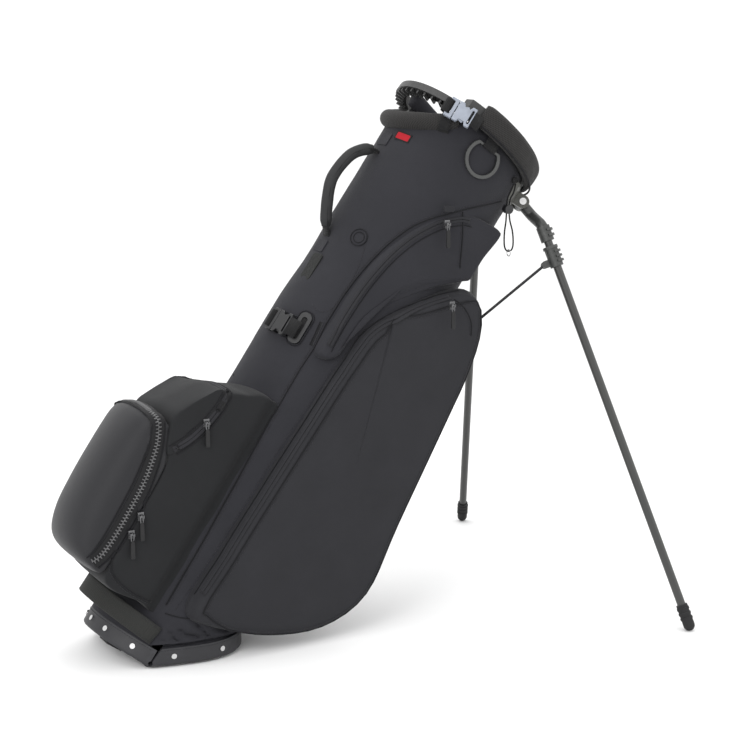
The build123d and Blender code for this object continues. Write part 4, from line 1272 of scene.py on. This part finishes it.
def gusset_cloth():
    """Folded cloth between the foot plate's rim and the tube's lower edge."""
    line = [p for p in spline(PLATE_RIM, 2.0) if p.x > -30]
    count = 150
    rings = []
    for i in range(count + 1):
        base = line[int(i * (len(line) - 1) / count)]
        t = mix(-radians(113), radians(113), i / count)
        v, w = (TUBE_A - 2.6) * cos(t), (TUBE_B - 2.6) * sin(t)
        s = (FLOOR_GAP + 3 - BAG_ORIGIN.z + v * sin(LEAN)) / cos(LEAN)
        top = bag_point(v, w, s)
        low = Vector((base.x + FOOT_SHIFT, base.y, 0))
        out = Vector((base.x - 20, base.y, 0)).normalized()
        column = []
        for k in range(15):
            share = k / 14
            p = low.lerp(Vector((top.x, top.y, 0)), ease(share)) - out * 4.4 * (1 - share)
            p.z = mix(20, FLOOR_GAP + 3, share)
            fold = sin(k * 1.9 + 2.2 * ruffle(p, 16, 7)) * sin(pi * share)
            clear_of_rod = ease((abs(p.y) - 12) / 30)
            column.append(p - out * (1.5 + 2.6 * fold) * sin(pi * share) * clear_of_rod)
        rings.append(column)
    made = shell("foot_gusset", rings, closed=False)
    modify(made, "SOLIDIFY", thickness=1.0 * MM, offset=0)
    apply_modifiers(made)
    return made


gusset = gusset_cloth()
dress(gusset, "tube", None, ["base_gusset"])
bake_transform(gusset)
rim_line = [p for p in spline(PLATE_RIM) if p.x > -34]
rim_path = [(Vector((p.x + FOOT_SHIFT, p.y, 24.0)), Vector((p.x - 20, p.y, 0)).normalized())
            for p in rim_line]
stitches("foot_rim_stitches", lifted(rim_path, 0.2), 2.4, 1.6, 0.45, "foot")
cup_path = []
for k in range(40):
    t = radians(mix(116, 244, k / 39))
    cup_path.append((bag_point(106.6 * cos(t), 95.6 * sin(t), 24), bag_vector(cos(t), sin(t), 0)))
stitches("cup_rim_stitches", cup_path, 2.4, 1.6, 0.45)


# ---------------------------------------------------------------- buckles, ring, pulls
def buckle(prefix, place, width, material, male_body, nodes):
    """A side-release buckle: its H-shaped body, and a clip with two prongs that rides the sliding body."""
    half = width / 2
    waist = half - 4.6
    body = [(0.4, -half), (7, -half), (9.5, -waist), (17, -waist), (19.5, -half), (26, -half),
            (26, half), (19.5, half), (17, waist), (9.5, waist), (7, half), (0.4, half)]
    dress(plate(prefix + "_body", place, body, -4.4, 4.4, 1.1, [rounded(3.2, width - 8, 1.2, 22.6)]),
          material, "bag", [nodes[0]])
    base = [(-12.2, -half), (-0.8, -half), (-0.8, half), (-12.2, half)]
    dress(plate(prefix + "_clip", place, base, -4.2, 4.2, 1.2, [rounded(3.6, width - 8, 1.2, -7.6)]),
          material, male_body, [nodes[1]])
    for name, sign in (("_prong_a", 1), ("_prong_b", -1)):
        prong = [(-1.5, sign * (waist - 0.5)), (8, sign * (waist + 0.4)), (15, sign * (waist + 2.6)),
                 (16, sign * (waist + 0.2)), (13, sign * (waist - 2.4)), (-1.5, sign * (waist - 4))]
        dress(plate(prefix + name, place, prong if sign > 0 else prong[::-1], -2.2, 2.2, 0.6), material,
              male_body)


def strap_run(name, place, points, width, body="bag"):
    """Webbing through (x, z) points of a buckle's frame."""
    line = [place @ Vector((x, 0, z)) for x, z in points]
    side = place.col[1].to_3d()
    smooth = spline(line, 2.0)
    path = [(p, side.cross(a).normalized()) for p, a in zip(smooth, directions(smooth))]
    return dress(strip(name, path, band_profile(width, 1.0, 0.6)), "webbing", body)


collar_frame = surface_frame(232, 848, 13.5, RING_A, RING_B)
side_frame = surface_frame(192, 484, 7.0)
buckle("collar_buckle", collar_frame, 28.0, "buckle_grey", "collar_clip",
       ["collar_buckle_female", "collar_buckle_male"])
buckle("side_buckle", side_frame, 32.0, "buckle_black", "side_clip",
       ["side_buckle_female", "side_buckle_male"])
strap_run("collar_strap_a", collar_frame, [(22.6, -1.0), (25.5, 2.6), (30, 1.0), (38, -7)], 20)
strap_run("collar_strap_b", collar_frame,
          [(-7.6, 0.5), (-11, 5.2), (-17, 4.2), (-17, -3), (-11, -5.4), (-7.6, -1.0)], 20,
          "collar_clip")
strap_run("side_strap_a", side_frame, [(22.6, -1.0), (26, 2.6), (34, 0.0), (40, -5)], 24)
strap_run("side_strap_b", side_frame, [(-7.6, 0.5), (-11, 5.2), (-15, 4.2), (-15, -3), (-11, -5.2),
                                       (-7.6, -1.0)], 24,
          "side_clip")

ring_frame = surface_frame(266, 816, 3.6)


def cut_circle(radius, chord):
    """A circle's outline cut off above a chord."""
    edge = degrees(atan2(chord, sqrt(radius ** 2 - chord ** 2)))
    return [(radius * cos(radians(a)), radius * sin(radians(a)))
            for a in (mix(180 - edge, 360 + edge, k / 48) for k in range(49))]


dress(plate("carry_ring_loop", ring_frame, cut_circle(27.0, 19.4), -1.6, 1.6, 0.7, [cut_circle(22.0, 15.6)]),
      "ring", "carry_ring", ["d_ring"])
ring_tab = [(0, 16.0, -2.0), (0, 15.0, 1.8), (0, 19, 3.6), (0, 27, 3.2), (0, 34, 2.4)]
tab_line = spline([ring_frame @ Vector(p) for p in ring_tab], 1.5)
tab_path = [(p, ring_frame.col[0].to_3d().cross(a).normalized() * -1) for p,
            a in zip(tab_line, directions(tab_line))]
dress(strip("carry_ring_tab", tab_path, band_profile(20, 1.2, 0.8)), "webbing", "bag", ["d_ring_tab"])


def zip_pull(name):
    """A wire loop and a plain rubber tab that hang from a zip's slider."""
    low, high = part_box(name)
    x, y = (low.x + high.x) / 2 / MM, (low.y + high.y) / 2 / MM
    top, bottom = high.z / MM, low.z / MM
    loop = [(x + 1.8 * sin(a), y, top - 6.0 - 5.6 * cos(a)) for a in turns(24)]
    path = [(Vector(p), Vector((0, -1, 0))) for p in loop]
    dress(strip(name + "_wire", path, circle(0.9, PIPE_SIDES), True), "zip_metal", name + "_body", [name])
    place = frame_matrix(Vector((x, y, (top + bottom) / 2 - 6.5)), Vector((1, 0, 0)), Vector((0, -1, 0)))
    length = top - bottom - 5.5
    outline = [(-2.1, -length / 2), (2.1, -length / 2), (2.9, -length / 2 + 2), (2.7, length / 2 - 4),
               (1.5, length / 2), (-1.5, length / 2), (-2.7, length / 2 - 4), (-2.9, -length / 2 + 2)]
    dress(plate(name + "_tab", place, outline, -1.6, 1.6, 0.7), "rubber", name + "_body")


for name in ("upper_pull", "apparel_pull", "ball_pull_upper", "ball_pull_lower", "lid_pull"):
    zip_pull(name)

# ---------------------------------------------------------------- carried-over CAD nodes
NODE_FINISH = {
    "collar": ["top_collar"],
    "base": ["base_cup", "foot_plate"],
    "rubber": ["base_pads", "foot_pads", "leg_tip_right", "leg_tip_left"],
    "steel": ["base_rivets", "foot_rivets", "leg_pins", "cord_ring"],
    "black_steel": ["hinge_pin", "push_rod", "spreader_arm_right", "spreader_arm_left"],
    "leg": ["leg_head_right", "leg_head_left", "leg_clamp_right", "leg_clamp_left"],
    "bracket": ["leg_bracket"],
    "tube_metal": ["leg_tube_right", "leg_tube_left"],
    "buckle_black": ["rod_yoke", "rod_guides", "cord_lock"],
    "zip_metal": ["zip_sliders"],
    "foam": ["stays"],
}
for finish, names in NODE_FINISH.items():
    for name in names:
        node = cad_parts[name]
        node.data.materials.clear()
        node.data.materials.append(MATERIALS[finish])
